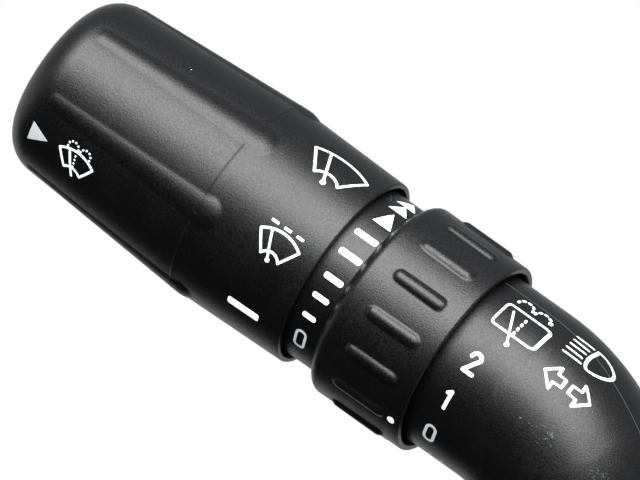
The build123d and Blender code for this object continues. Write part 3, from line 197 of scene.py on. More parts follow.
@dataclass(frozen=True)
class MouldedPlastic(Finish):
    """Thermoplastic from a spark-eroded mould: a fine even grain that breaks up the gloss."""

    grain_mm: float = 0.24
    grain_depth_mm: float = 0.012
    patch_mm: float = 6.0
    gloss_spread: float = 0.05
    worn_colour: str = "#2b2d30"
    worn_share: float = 0.25

    def dress(self, tree: bpy.types.NodeTree, shader: bpy.types.Node, place: bpy.types.NodeSocket) -> None:
        """Add grain, slightly uneven gloss and rubbed patches."""
        grain = add_node(tree, "ShaderNodeTexNoise", place, inputs={"Scale": 1 / (self.grain_mm * MM), "Detail": 3.0})
        patches = add_node(tree, "ShaderNodeTexNoise", place, inputs={"Scale": 1 / (self.patch_mm * MM), "Detail": 4.0})
        gloss = add_node(
            tree, "ShaderNodeMapRange", grain,
            inputs={
                "From Min": 0.3, "From Max": 0.7,
                "To Min": self.roughness - self.gloss_spread, "To Max": self.roughness + self.gloss_spread,
            },
        )
        specks = add_node(tree, "ShaderNodeMath", grain, patches, operation="MULTIPLY")
        share = add_node(
            tree, "ShaderNodeMapRange", specks,
            inputs={"From Min": 0.22, "From Max": 0.42, "To Min": 0.0, "To Max": self.worn_share},
        )
        colour = add_node(
            tree, "ShaderNodeMix", share, data_type="RGBA",
            inputs={6: hex_linear(self.colour), 7: hex_linear(self.worn_colour)},
        )
        bump = add_node(
            tree, "ShaderNodeBump",
            inputs={"Strength": 1.0, "Distance": self.grain_depth_mm * MM, "Height": grain.outputs[0]},
        )
        tree.links.new(colour.outputs[2], shader.inputs["Base Color"])
        tree.links.new(gloss.outputs[0], shader.inputs["Roughness"])
        tree.links.new(bump.outputs[0], shader.inputs["Normal"])


@dataclass(frozen=True)
class PrintedInk(Finish):
    """Two-part ink laid on by a soft pad: a matt film, a little thinner in spots and faintly ribbed."""

    thin_colour: str = "#9aa2aa"
    spot_mm: float = 0.35

    def dress(self, tree: bpy.types.NodeTree, shader: bpy.types.Node, place: bpy.types.NodeSocket) -> None:
        """Add the thin spots and the film's slight unevenness."""
        spots = add_node(tree, "ShaderNodeTexNoise", place, inputs={"Scale": 1 / (self.spot_mm * MM), "Detail": 4.0})
        thin = add_node(
            tree, "ShaderNodeMapRange", spots,
            inputs={"From Min": 0.56, "From Max": 0.78, "To Min": 0.0, "To Max": 0.8},
        )
        colour = add_node(
            tree, "ShaderNodeMix", thin, data_type="RGBA",
            inputs={6: hex_linear(self.colour), 7: hex_linear(self.thin_colour)},
        )
        bump = add_node(tree, "ShaderNodeBump", inputs={"Strength": 0.6, "Distance": 0.004 * MM, "Height": spots.outputs[0]})
        tree.links.new(colour.outputs[2], shader.inputs["Base Color"])
        tree.links.new(bump.outputs[0], shader.inputs["Normal"])


@dataclass(frozen=True)
class Laminate(Finish):
    """Glass cloth laminate under green solder mask: the cloth's weave shows through as a fine square relief."""

    thread_mm: float = 0.5
    deep_colour: str = "#16401f"

    def dress(self, tree: bpy.types.NodeTree, shader: bpy.types.Node, place: bpy.types.NodeSocket) -> None:
        """Add the weave of the glass cloth."""
        weave = add_node(tree, "ShaderNodeTexChecker", place, inputs={"Scale": 1 / (self.thread_mm * MM)})
        haze = add_node(tree, "ShaderNodeTexNoise", place, inputs={"Scale": 1 / (3 * MM), "Detail": 3.0})
        share = add_node(tree, "ShaderNodeMath", weave.outputs["Fac"], haze, operation="MULTIPLY")
        colour = add_node(
            tree, "ShaderNodeMix", share, data_type="RGBA",
            inputs={6: hex_linear(self.colour), 7: hex_linear(self.deep_colour)},
        )
        bump = add_node(tree, "ShaderNodeBump", inputs={"Strength": 0.5, "Distance": 0.01 * MM, "Height": weave.outputs["Fac"]})
        tree.links.new(colour.outputs[2], shader.inputs["Base Color"])
        tree.links.new(bump.outputs[0], shader.inputs["Normal"])


@dataclass(frozen=True)
class RibbonVinyl(Finish):
    """Extruded vinyl flat cable: one low ridge over each core across the ribbon's width."""

    core_pitch_mm: float = 1.0

    def dress(self, tree: bpy.types.NodeTree, shader: bpy.types.Node, place: bpy.types.NodeSocket) -> None:
        """Add a ridge over each core."""
        across = add_node(tree, "ShaderNodeSeparateXYZ", place).outputs["Y"]
        phase = add_node(tree, "ShaderNodeMath", across, TAU / (self.core_pitch_mm * MM), operation="MULTIPLY")
        ridge = add_node(tree, "ShaderNodeMath", phase, operation="SINE")
        bump = add_node(tree, "ShaderNodeBump", inputs={"Strength": 1.0, "Distance": 0.1 * MM, "Height": ridge.outputs[0]})
        tree.links.new(bump.outputs[0], shader.inputs["Normal"])


@dataclass(frozen=True)
class WorkedMetal(Finish):
    """Drawn, turned or stamped metal: fine drag lines along one way, and cloudy plating."""

    line_mm: float = 0.12
    stretch: float = 12.0
    cloud_colour: str = "#8f8f8c"

    def dress(self, tree: bpy.types.NodeTree, shader: bpy.types.Node, place: bpy.types.NodeSocket) -> None:
        """Add drag lines and clouds."""
        shader.inputs["Metallic"].default_value = 1.0
        scale = 1 / (self.line_mm * MM)
        along = add_node(tree, "ShaderNodeMapping", place, inputs={"Scale": (scale / self.stretch, scale, scale)})
        lines = add_node(tree, "ShaderNodeTexNoise", along, inputs={"Scale": 1.0, "Detail": 2.0})
        clouds = add_node(tree, "ShaderNodeTexNoise", place, inputs={"Scale": 1 / (2 * MM), "Detail": 3.0})
        gloss = add_node(
            tree, "ShaderNodeMapRange", lines,
            inputs={"From Min": 0.3, "From Max": 0.7, "To Min": self.roughness - 0.08, "To Max": self.roughness + 0.1},
        )
        colour = add_node(
            tree, "ShaderNodeMix", clouds, data_type="RGBA",
            inputs={6: hex_linear(self.colour), 7: hex_linear(self.cloud_colour)},
        )
        bump = add_node(tree, "ShaderNodeBump", inputs={"Strength": 0.4, "Distance": 0.005 * MM, "Height": lines.outputs[0]})
        tree.links.new(colour.outputs[2], shader.inputs["Base Color"])
        tree.links.new(gloss.outputs[0], shader.inputs["Roughness"])
        tree.links.new(bump.outputs[0], shader.inputs["Normal"])


KNOB_PLASTIC = MouldedPlastic(
    "polyamide_spark_eroded_black", "#030304", 0.37, grain_mm=0.21, grain_depth_mm=0.037, gloss_spread=0.12,
    worn_colour="#141517",
)
LEVER_PLASTIC = MouldedPlastic(
    "polyamide_moulded_black", "#030304", 0.38, grain_mm=0.19, grain_depth_mm=0.033, gloss_spread=0.12,
    worn_colour="#141517",
)
HOUSING_PLASTIC = MouldedPlastic(
    "glass_filled_nylon_moulded_black", "#1b1c1e", 0.52, grain_mm=0.4, grain_depth_mm=0.02, worn_colour="#34363a"
)
NATURAL_ACETAL = MouldedPlastic(
    "acetal_natural_moulded", "#e2dfd2", 0.36, grain_mm=0.6, grain_depth_mm=0.004, worn_colour="#cfc9b4"
)
SWITCH_PLASTIC = MouldedPlastic("pbt_moulded_dark_grey", "#57595e", 0.45, worn_colour="#6a6d72")
WHITE_INK = PrintedInk("pad_printed_ink_white", "#e6eaee", 0.5)
# Grey ink: the tip pointer is printed with it, and on the two zeros it is painted shade, white print darkened to the
# tone it has on the grip's shaded lower side.
GREY_INK_AND_PAINTED_SHADE = PrintedInk("pad_printed_ink_grey", "#a9aeb3", 0.5, thin_colour="#777c82")
TORN_FLASH = PrintedInk("polyamide_torn_flash_grey", "#a4a8ac", 0.6, thin_colour="#63676b", spot_mm=0.2)
RUBBED_PLASTIC = PrintedInk("polyamide_rubbed_grey", "#44474b", 0.5, thin_colour="#2a2c2f", spot_mm=0.3)
BOARD_LAMINATE = Laminate("glass_laminate_solder_mask_green", "#2c6a36", 0.35)
GREY_VINYL = RibbonVinyl("vinyl_extruded_grey", "#9c9fa3", 0.45)
SPRING_STEEL = WorkedMetal("spring_steel_drawn", "#b9b9ba", 0.28)
ZINC_STEEL = WorkedMetal("steel_turned_zinc_plated", "#c6c8c9", 0.34, cloud_colour="#a9a796")
STAMPED_BRASS = WorkedMetal("brass_stamped", "#c9a35a", 0.3, cloud_colour="#a78347")

SLOT_FINISH: dict[Slot, Finish] = {
    Slot.KNOB: KNOB_PLASTIC,
    Slot.LEVER: LEVER_PLASTIC,
    Slot.HOUSING: HOUSING_PLASTIC,
    Slot.ACETAL: NATURAL_ACETAL,
    Slot.SWITCH: SWITCH_PLASTIC,
    Slot.BOARD: BOARD_LAMINATE,
    Slot.RIBBON: GREY_VINYL,
    Slot.SPRING: SPRING_STEEL,
    Slot.PIN: ZINC_STEEL,
    Slot.BRASS: STAMPED_BRASS,
}


# Meshes


def new_mesh(name: str, points: np.ndarray, faces: Sequence[Sequence[int]], sharp: float = 35.0) -> bpy.types.Object:
    """Make a mesh object with smooth faces and edges kept crisp above an angle.

    Args:
        name: Name of the object.
        points: Corner places in metres.
        faces: Corner numbers of each face.
        sharp: Angle in degrees above which an edge stays crisp.

    Returns:
        The new object, linked to the scene.
    """
    mesh = bpy.data.meshes.new(name)
    mesh.from_pydata(points.tolist(), [], [list(face) for face in faces])
    mesh.validate()
    mesh.shade_smooth()
    mesh.set_sharp_from_angle(angle=math.radians(sharp))
    made = bpy.data.objects.new(name, mesh)
    bpy.context.scene.collection.objects.link(made)
    return made


def finished_copy(source: bpy.types.Object, name: str) -> bpy.types.Object:
    """Turn an object's modifiers into a plain mesh of its own.

    Args:
        source: Object whose modifiers are applied. It is removed.
        name: Name of the plain object.

    Returns:
        The plain object, without modifiers.
    """
    graph = bpy.context.evaluated_depsgraph_get()
    graph.update()
    mesh = bpy.data.meshes.new_from_object(source.evaluated_get(graph))
    bpy.data.objects.remove(source, do_unlink=True)
    mesh.name = name
    made = bpy.data.objects.new(name, mesh)
    bpy.context.scene.collection.objects.link(made)
    return made


def settle(piece: bpy.types.Object, body: Body, replaced: Sequence[str] = ()) -> None:
    """Tell the frame which body and nodes a piece belongs to.

    Args:
        piece: Finished piece at the origin.
        body: Body that it rides on.
        replaced: Nodes that it stands for.
    """
    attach(piece, body.value)
    if replaced:
        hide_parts(*replaced)
    LOG.info("%s: %d faces on %s", piece.name, len(piece.data.polygons), body.value)


@dataclass(frozen=True)
class GripAxis:
    """Where the grip lies: its rim station, the height and depth of its axis, in metres."""

    rim_x: float
    axis_y: float
    axis_z: float

    @classmethod
    def from_frame(cls) -> "GripAxis":
        """Read the grip's place from the knob and the index band."""
        low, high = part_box("index_band")
        return cls(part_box("wiper_knob")[1].x, (low.y + high.y) / 2, (low.z + high.z) / 2)

    def station(self, x: float) -> float:
        """Give the station in millimetres of a place along X in metres."""
        return (x - self.rim_x) / MM


@dataclass
class TurnedShell:
    """A closed skin of revolution along the grip, from rows of station and radius in millimetres.

    The outer rows run from the tip towards the lever, the inner rows back again. A row at radius
    zero closes the skin at a pole.
    """

    name: str
    axis: GripAxis
    outer: list[Row]
    inner: list[Row]
    columns: int = 384
    notch: Callable[[float, np.ndarray], np.ndarray] | None = None

    def build(self) -> bpy.types.Object:
        """Build the skin, with the attribute "skin" at 1 on the outer rows.

        Returns:
            The new mesh object.
        """
        rows = self.outer + self.inner
        turns = np.arange(self.columns) * TAU / self.columns
        points: list[np.ndarray] = []
        skin: list[float] = []
        rings: list[list[int]] = []
        count = 0
        for number, (station, radius) in enumerate(rows):
            on_skin = 1.0 if number < len(self.outer) else 0.0
            if radius <= 0:
                points.append(self.place(station, np.zeros(1), turns[:1]))
                rings.append([count])
                skin.append(on_skin)
                count += 1
                continue
            reach = np.full(self.columns, radius)
            if self.notch is not None and not on_skin:
                reach = reach + self.notch(station, turns)
            points.append(self.place(station, reach, turns))
            rings.append(list(range(count, count + self.columns)))
            skin.extend([on_skin] * self.columns)
            count += self.columns
        faces = []
        closed = rings[0] if len(rings[0]) > 1 else None
        pairs = list(zip(rings, rings[1:]))
        if closed is not None:
            pairs.append((rings[-1], rings[0]))
        for first, second in pairs:
            faces.extend(self.strip(first, second))
        made = new_mesh(self.name, np.concatenate(points), faces)
        layer = made.data.attributes.new("skin", "FLOAT", "POINT")
        layer.data.foreach_set("value", skin)
        return made

    def place(self, station: float, reach: np.ndarray, turns: np.ndarray) -> np.ndarray:
        """Give the points of one row; a turn of zero is the top, and turns run towards the driver.

        Args:
            station: Station of the row.
            reach: Radius at each turn.
            turns: Turns in radians.

        Returns:
            Points in metres, one line each.
        """
        x = np.full(len(turns), self.axis.rim_x + station * MM)
        y = self.axis.axis_y - reach * np.sin(turns) * MM
        z = self.axis.axis_z + reach * np.cos(turns) * MM
        return np.column_stack([x, y, z])

    def strip(self, first: list[int], second: list[int]) -> list[tuple[int, ...]]:
        """Join two rows with faces that point outwards.

        Args:
            first: Corner numbers of the row nearer the tip.
            second: Corner numbers of the next row.

        Returns:
            Faces of the strip.
        """
        size = max(len(first), len(second))
        faces = []
        for index in range(size):
            after = (index + 1) % size
            if len(first) == 1:
                faces.append((first[0], second[index], second[after]))
            elif len(second) == 1:
                faces.append((first[index], second[0], first[after]))
            else:
                faces.append((first[index], second[index], second[after], first[after]))
        return faces


def spread(start: float, end: float, step: float) -> list[float]:
    """Give evenly spaced values from start up to but without end.

    Args:
        start: First value.
        end: Value at which the run stops.
        step: Greatest spacing.

    Returns:
        The values.
    """
    count = max(1, math.ceil(abs(end - start) / step - 1e-6))
    return [start + (end - start) * index / count for index in range(count)]


# Raised ribs, as a rule in Geometry Nodes


@dataclass(frozen=True)
class RibPattern:
    """Crowned ribs on a turned skin: where they start and end, how wide and proud, how many."""

    first_turn: float
    step: float
    count: int
    tip_station: float
    nose_station: float
    tip_radius: float
    nose_radius: float
    height: float
    blend: float = 0.035


RIB_INPUTS = (
    "Rim X", "Axis Y", "Axis Z", "First Turn", "Step", "Count", "Tip", "Nose", "Tip Radius", "Nose Radius",
    "Height", "Blend",
)


def crown_radius(land: float, width: float, proud: float) -> float:
    """Give the section radius of a rib that is this wide and this proud on a round land."""
    half = width / 2 / land
    crest = land + proud
    reach = land * math.cos(half)
    return (land**2 - 2 * crest * reach + crest**2) / (2 * (crest - reach))


def run_out(radius: float, proud: float) -> float:
    """Give the distance from a rib's ball centre to where its end meets the land."""
    return math.sqrt(radius**2 - (radius - proud) ** 2)


def new_tree(name: str, inputs: Sequence[str]) -> bpy.types.GeometryNodeTree:
    """Make a Geometry Nodes tree with a geometry input, number inputs and a material input.

    Args:
        name: Name of the tree.
        inputs: Names of its number inputs.

    Returns:
        The tree, with its group input and output nodes still to be added.
    """
    tree = bpy.data.node_groups.new(name, "GeometryNodeTree")
    tree.is_modifier = True
    tree.interface.new_socket("Geometry", in_out="INPUT", socket_type="NodeSocketGeometry")
    for label in inputs:
        tree.interface.new_socket(label, in_out="INPUT", socket_type="NodeSocketFloat")
    tree.interface.new_socket("Material", in_out="INPUT", socket_type="NodeSocketMaterial")
    tree.interface.new_socket("Geometry", in_out="OUTPUT", socket_type="NodeSocketGeometry")
    return tree


def run_tree(piece: bpy.types.Object, tree: bpy.types.GeometryNodeTree, values: dict[str, object]) -> bpy.types.Object:
    """Run a tree on a piece and turn the result into a plain mesh.

    Args:
        piece: Object that carries the tree. It is replaced by the result.
        tree: Geometry Nodes tree.
        values: Input values by socket name.

    Returns:
        The plain object under the same name.
    """
    modifier = piece.modifiers.new(tree.name, "NODES")
    modifier.node_group = tree
    for socket in tree.interface.items_tree:
        if socket.item_type == "SOCKET" and socket.in_out == "INPUT" and socket.name in values:
            modifier[socket.identifier] = values[socket.name]
    name = piece.name
    piece.name = name + "_raw"
    return finished_copy(piece, name)


def end_tree(tree: bpy.types.GeometryNodeTree, start: bpy.types.Node, geometry: bpy.types.NodeSocket) -> None:
    """End a tree in Realize Instances and Set Material.

    Args:
        tree: Tree to end.
        start: Its group input node.
        geometry: The geometry so far.
    """
    real = add_node(tree, "GeometryNodeRealizeInstances", geometry)
    dressed = add_node(
        tree, "GeometryNodeSetMaterial", real, inputs={"Material": start.outputs["Material"]}
    )
    add_node(tree, "NodeGroupOutput", dressed)


def rib_tree() -> bpy.types.GeometryNodeTree:
    """Build the tree that raises crowned ribs out of a turned skin.

    Each point of the skin is moved out along its radius to the nearest rib's round back, where that
    stands further out, with a small fillet at the rib's foot.

    Returns:
        The tree.
    """
    tree = new_tree("raised_ribs", RIB_INPUTS)
    start = add_node(tree, "NodeGroupInput")
    given = start.outputs
    place = add_node(tree, "ShaderNodeSeparateXYZ", add_node(tree, "GeometryNodeInputPosition"))
    station = add_node(tree, "ShaderNodeMath", place.outputs["X"], given["Rim X"], operation="SUBTRACT")
    forward = add_node(tree, "ShaderNodeMath", given["Axis Y"], place.outputs["Y"], operation="SUBTRACT")
    upward = add_node(tree, "ShaderNodeMath", place.outputs["Z"], given["Axis Z"], operation="SUBTRACT")
    turn = add_node(tree, "ShaderNodeMath", forward, upward, operation="ARCTAN2")
    forward_square = add_node(tree, "ShaderNodeMath", forward, forward, operation="MULTIPLY")
    square = add_node(tree, "ShaderNodeMath", upward, upward, forward_square, operation="MULTIPLY_ADD")
    reach = add_node(tree, "ShaderNodeMath", square, operation="SQRT")

    past_first = add_node(tree, "ShaderNodeMath", turn, given["First Turn"], operation="SUBTRACT")
    wrapped = add_node(tree, "ShaderNodeMath", past_first, TAU, 0.0, operation="WRAP")
    steps = add_node(tree, "ShaderNodeMath", wrapped, given["Step"], operation="DIVIDE")
    nearest = add_node(tree, "ShaderNodeMath", steps, operation="ROUND")
    last = add_node(tree, "ShaderNodeMath", given["Count"], 1.0, operation="SUBTRACT")
    number = add_node(tree, "ShaderNodeMath", nearest, last, operation="MINIMUM")
    rib_turn = add_node(tree, "ShaderNodeMath", number, given["Step"], operation="MULTIPLY")
    aside = add_node(tree, "ShaderNodeMath", wrapped, rib_turn, operation="SUBTRACT")
    aside_size = add_node(tree, "ShaderNodeMath", aside, operation="ABSOLUTE")
    back = add_node(tree, "ShaderNodeMath", TAU, wrapped, operation="SUBTRACT")
    local = add_node(tree, "ShaderNodeMath", aside_size, back, operation="MINIMUM")

    before = add_node(tree, "ShaderNodeMath", given["Tip"], station, operation="SUBTRACT")
    after = add_node(tree, "ShaderNodeMath", station, given["Nose"], operation="SUBTRACT")
    beyond = add_node(tree, "ShaderNodeMath", before, after, operation="MAXIMUM")
    off_end = add_node(tree, "ShaderNodeMath", beyond, 0.0, operation="MAXIMUM")
    section = add_node(
        tree, "ShaderNodeMapRange", station,
        inputs={1: given["Tip"], 2: given["Nose"], 3: given["Tip Radius"], 4: given["Nose Radius"]},
    )
    section_square = add_node(tree, "ShaderNodeMath", section, section, operation="MULTIPLY")
    off_square = add_node(tree, "ShaderNodeMath", off_end, off_end, operation="MULTIPLY")
    sine = add_node(tree, "ShaderNodeMath", local, operation="SINE")
    cosine = add_node(tree, "ShaderNodeMath", local, operation="COSINE")
    side = add_node(tree, "ShaderNodeMath", sine, given["Height"], operation="MULTIPLY")
    side_square = add_node(tree, "ShaderNodeMath", side, side, operation="MULTIPLY")
    room = add_node(tree, "ShaderNodeMath", section_square, off_square, operation="SUBTRACT")
    room = add_node(tree, "ShaderNodeMath", room, side_square, operation="SUBTRACT")
    bulge = add_node(tree, "ShaderNodeMath", add_node(tree, "ShaderNodeMath", room, 0.0, operation="MAXIMUM"), operation="SQRT")
    rib_reach = add_node(tree, "ShaderNodeMath", cosine, given["Height"], bulge, operation="MULTIPLY_ADD")

    raised = add_node(tree, "ShaderNodeMath", reach, rib_reach, given["Blend"], operation="SMOOTH_MAX")
    on_rib = add_node(tree, "FunctionNodeCompare", room, 0.0, operation="GREATER_THAN")
    scale = add_node(tree, "ShaderNodeMath", raised, reach, operation="DIVIDE")
    new_y = add_node(tree, "ShaderNodeMath", forward, scale, operation="MULTIPLY")
    new_y = add_node(tree, "ShaderNodeMath", given["Axis Y"], new_y, operation="SUBTRACT")
    new_z = add_node(tree, "ShaderNodeMath", upward, scale, given["Axis Z"], operation="MULTIPLY_ADD")
    target = add_node(tree, "ShaderNodeCombineXYZ", place.outputs["X"], new_y, new_z)
    skin = add_node(tree, "GeometryNodeInputNamedAttribute", "skin", data_type="FLOAT")
    on_skin = add_node(tree, "FunctionNodeCompare", skin, 0.5, operation="GREATER_THAN")
    chosen = add_node(tree, "FunctionNodeBooleanMath", on_rib, on_skin, operation="AND")
    moved = add_node(
        tree, "GeometryNodeSetPosition", given["Geometry"],
        inputs={"Selection": chosen.outputs[0], "Position": target.outputs[0]},
    )
    end_tree(tree, start, moved)
    return tree


def crisp_ends(piece: bpy.types.Object) -> None:
    """Keep the edges round a piece's two end faces crisp, whatever their angle."""
    mesh = piece.data
    along = np.array([vertex.co.x for vertex in mesh.vertices])
    at_end = (along < along.min() + 0.001 * MM) | (along > along.max() - 0.001 * MM)
    marks = mesh.attributes.get("sharp_edge") or mesh.attributes.new("sharp_edge", "BOOLEAN", "EDGE")
    sharp = np.zeros(len(mesh.edges), bool)
    marks.data.foreach_get("value", sharp)
    ends = np.zeros(2 * len(mesh.edges), np.int32)
    mesh.edges.foreach_get("vertices", ends)
    marks.data.foreach_set("value", sharp | at_end[ends.reshape(-1, 2)].all(1))


def raise_ribs(
    piece: bpy.types.Object, axis: GripAxis, pattern: RibPattern, tree: bpy.types.GeometryNodeTree, finish: Finish
) -> bpy.types.Object:
    """Run the rib tree on a turned skin.

    Args:
        piece: Skin with the attribute "skin".
        axis: The grip's axis.
        pattern: Sizes of the ribs in millimetres and degrees.
        tree: The rib tree.
        finish: Finish of the result.

    Returns:
        The ribbed piece, shaded smooth with crisp edges.
    """
    made = run_tree(piece, tree, {
        "Rim X": axis.rim_x, "Axis Y": axis.axis_y, "Axis Z": axis.axis_z,
        "First Turn": math.radians(pattern.first_turn), "Step": math.radians(pattern.step),
        "Count": float(pattern.count), "Tip": pattern.tip_station * MM, "Nose": pattern.nose_station * MM,
        "Tip Radius": pattern.tip_radius * MM, "Nose Radius": pattern.nose_radius * MM,
        "Height": pattern.height * MM, "Blend": pattern.blend * MM, "Material": finish.material(),
    })
    made.data.shade_smooth()
    made.data.set_sharp_from_angle(angle=math.radians(50))
    crisp_ends(made)
    return made


# Grip pieces


@dataclass
class WiperKnob:
    """The cap at the lever's end: domed tip, drafted side with crowned ribs, mould line, thin rim."""

    axis: GripAxis
    rim_radius: float = 15.0
    parting_station: float = -18.6
    parting_radius: float = 15.45
    shoulder_setback: float = 5.95
    shoulder_radius: float = 13.83
    dome: float = 0.5
    edge_round: float = 5.4
    rib_count: int = 7
    rib_proud: float = 0.45
    rib_first_turn: float = 77.0
    wide_land: float = 61.5
    rib_tip_setback: float = 4.85
    rib_tip_width: float = 3.8
    rib_nose_station: float = -15.2
    rib_nose_width: float = 5.1
    flash_proud: float = 0.05
    flash_width: float = 0.12
    rim_wall: float = 0.75
    end_wall: float = 2.2
    bore_radius: float = 12.3
    step_station: float = -10.2
    socket_radius: float = 3.5
    socket_length: float = 4.0
    socket_bore: float = 2.05
    groove_radius: float = 14.55
    groove: Row = (-6.55, -5.45)
    spline_groove: Row = (-32.7, -10.2)
    spline_half_width: float = 1.35
    spline_reach: float = 13.2
    ceiling_chamfer: float = 1.2

    def land(self, station: float) -> float:
        """Give the radius of the smooth side at a station."""
        tip = self.tip()
        shoulder = tip + self.shoulder_setback
        if station <= self.parting_station:
            share = (station - shoulder) / (self.parting_station - shoulder)
            return self.shoulder_radius + share * (self.parting_radius - self.shoulder_radius)
        return self.parting_radius + (self.rim_radius - self.parting_radius) * (
            1 - station / self.parting_station
        )

    def tip(self) -> float:
        """Give the tip's station from the frame."""
        return self.axis.station(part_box("wiper_knob")[0].x)

    def outer_rows(self) -> list[Row]:
        """Rows of the outside, from the tip's pole to the rim's edge."""
        tip = self.tip()
        corner = self.land(tip + self.dome)
        dome_radius = (corner**2 + self.dome**2) / (2 * self.dome)
        centre = tip + dome_radius
        draft = math.atan2(
            self.parting_radius - self.shoulder_radius, self.parting_station - tip - self.shoulder_setback
        )
        round_station = tip + self.edge_round
        for _ in range(12):
            round_reach = self.land(round_station) - self.edge_round / math.cos(draft)
            round_station = centre - math.sqrt((dome_radius - self.edge_round) ** 2 - round_reach**2)
        first = math.atan2(round_reach, round_station - centre)
        last = math.pi / 2 + draft
        rows = [(tip, 0.0)]
        edge = dome_radius * math.sin(math.pi - first)
        for reach in spread(1.5, edge, 1.8):
            rows.append((centre - math.sqrt(dome_radius**2 - reach**2), reach))
        for angle in spread(first, last, math.radians(4.0)):
            rows.append((
                round_station + self.edge_round * math.cos(angle), round_reach + self.edge_round * math.sin(angle)
            ))
        tangent = round_station + self.edge_round * math.cos(last)
        nose_end = self.rib_nose_station + 0.6
        stations = spread(tangent, tip + 8.6, 0.3) + spread(tip + 8.6, -21.5, 1.0)
        stations += spread(-21.5, self.parting_station - self.flash_width, 0.3)
        rows += [(station, self.land(station)) for station in stations]
        half = self.flash_width / 2
        rows += [
            (self.parting_station - self.flash_width, self.land(self.parting_station - self.flash_width)),
            (self.parting_station - half, self.parting_radius + self.flash_proud * 0.8),
            (self.parting_station, self.parting_radius + self.flash_proud),
            (self.parting_station + half, self.parting_radius + self.flash_proud * 0.8),
            (self.parting_station + self.flash_width, self.land(self.parting_station + self.flash_width)),
        ]
        stations = spread(self.parting_station + 2.5 * self.flash_width, nose_end, 0.25) + spread(nose_end, -0.3, 1.2)
        rows += [(station, self.land(station)) for station in stations]
        rows += [(-0.3, self.land(-0.3)), (-0.12, self.land(-0.12) - 0.03), (0.0, self.rim_radius - 0.15)]
        return rows

    def inner_rows(self) -> list[Row]:
        """Rows of the inside, from the rim back to the ceiling's pole."""
        lip = self.rim_radius - self.rim_wall
        ceiling = self.tip() + self.end_wall
        rows = [(0.0, lip + 0.12), (-0.12, lip), (self.groove[1], lip), (self.groove[1], self.groove_radius)]
        rows += [(self.groove[0], self.groove_radius), (self.groove[0], lip)]
        rows += [(self.step_station, lip), (self.step_station, self.bore_radius)]
        rows += [(station, self.bore_radius) for station in (self.spline_groove[0] + 0.01, self.spline_groove[0] - 0.01)]
        rows += [
            (ceiling + self.ceiling_chamfer, self.bore_radius),
            (ceiling, self.bore_radius - self.ceiling_chamfer),
            (ceiling, self.socket_radius),
            (ceiling + self.socket_length, self.socket_radius),
            (ceiling + self.socket_length, self.socket_bore),
            (ceiling, self.socket_bore),
            (ceiling, 0.0),
        ]
        return rows

    def spline_notch(self, station: float, turns: np.ndarray) -> np.ndarray:
        """Give how much deeper the bore is at each turn, where a spline groove runs."""
        deeper = np.zeros(len(turns))
        if not self.spline_groove[0] < station <= self.spline_groove[1]:
            return deeper
        local = (turns + math.pi / 4) % (math.pi / 2) - math.pi / 4
        inside = np.abs(np.sin(local)) * self.spline_reach < self.spline_half_width
        deeper[inside] = self.spline_reach - self.bore_radius
        return deeper

    def build(self, tree: bpy.types.GeometryNodeTree) -> bpy.types.Object:
        """Build the knob with its ribs and settle it on its body.

        Args:
            tree: The rib tree.

        Returns:
            The finished knob.
        """
        tip = self.tip()
        nose_radius = crown_radius(self.parting_radius, self.rib_nose_width, self.rib_proud)
        tip_radius = crown_radius(self.shoulder_radius, self.rib_tip_width, self.rib_proud)
        nose = self.rib_nose_station - run_out(nose_radius, self.rib_proud)
        pattern = RibPattern(
            first_turn=self.rib_first_turn + self.wide_land,
            step=(360 - self.wide_land) / (self.rib_count - 1),
            count=self.rib_count,
            tip_station=tip + self.rib_tip_setback + run_out(tip_radius, self.rib_proud),
            nose_station=nose,
            tip_radius=tip_radius,
            nose_radius=nose_radius,
            height=self.land(nose) + self.rib_proud - nose_radius,
        )
        shell = TurnedShell(
            "wiper_knob_cap", self.axis, self.outer_rows(), self.inner_rows(), notch=self.spline_notch
        )
        knob = raise_ribs(shell.build(), self.axis, pattern, tree, KNOB_PLASTIC)
        settle(knob, Body.KNOB, ["wiper_knob"])
        return knob


@dataclass
class IndexBand:
    """The tube that carries the scale, between knob and ring, with its bearing and its sleeve."""

    axis: GripAxis
    band: Row = (-2.5, 5.09)
    band_radius: float = 13.55
    tube_radius: float = 9.5
    groove: Row = (-9.0, -8.0)
    groove_radius: float = 9.0
    sleeve_radius: float = 10.0
    bore_radius: float = 8.0
    edge: float = 0.05

    def build(self) -> bpy.types.Object:
        """Build the tube and settle it on the lever.

        Returns:
            The finished band.
        """
        low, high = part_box("index_band")
        first, last = self.axis.station(low.x), self.axis.station(high.x)
        start, end = self.band
        outer = [(first, self.tube_radius)]
        outer += [(self.groove[0], self.tube_radius), (self.groove[0], self.groove_radius)]
        outer += [(self.groove[1], self.groove_radius), (self.groove[1], self.tube_radius)]
        outer += [(start, self.tube_radius), (start, self.band_radius - self.edge)]
        outer += [(station, self.band_radius) for station in spread(start + self.edge, end, 1.0)]
        outer += [(end, self.band_radius), (end, self.sleeve_radius)]
        outer += [(last, self.sleeve_radius)]
        inner = [(last, self.bore_radius), (first, self.bore_radius)]
        band = TurnedShell("index_band_scale", self.axis, outer, inner, columns=288).build()
        band.data.materials.append(LEVER_PLASTIC.material())
        settle(band, Body.LEVER, ["index_band"])
        return band


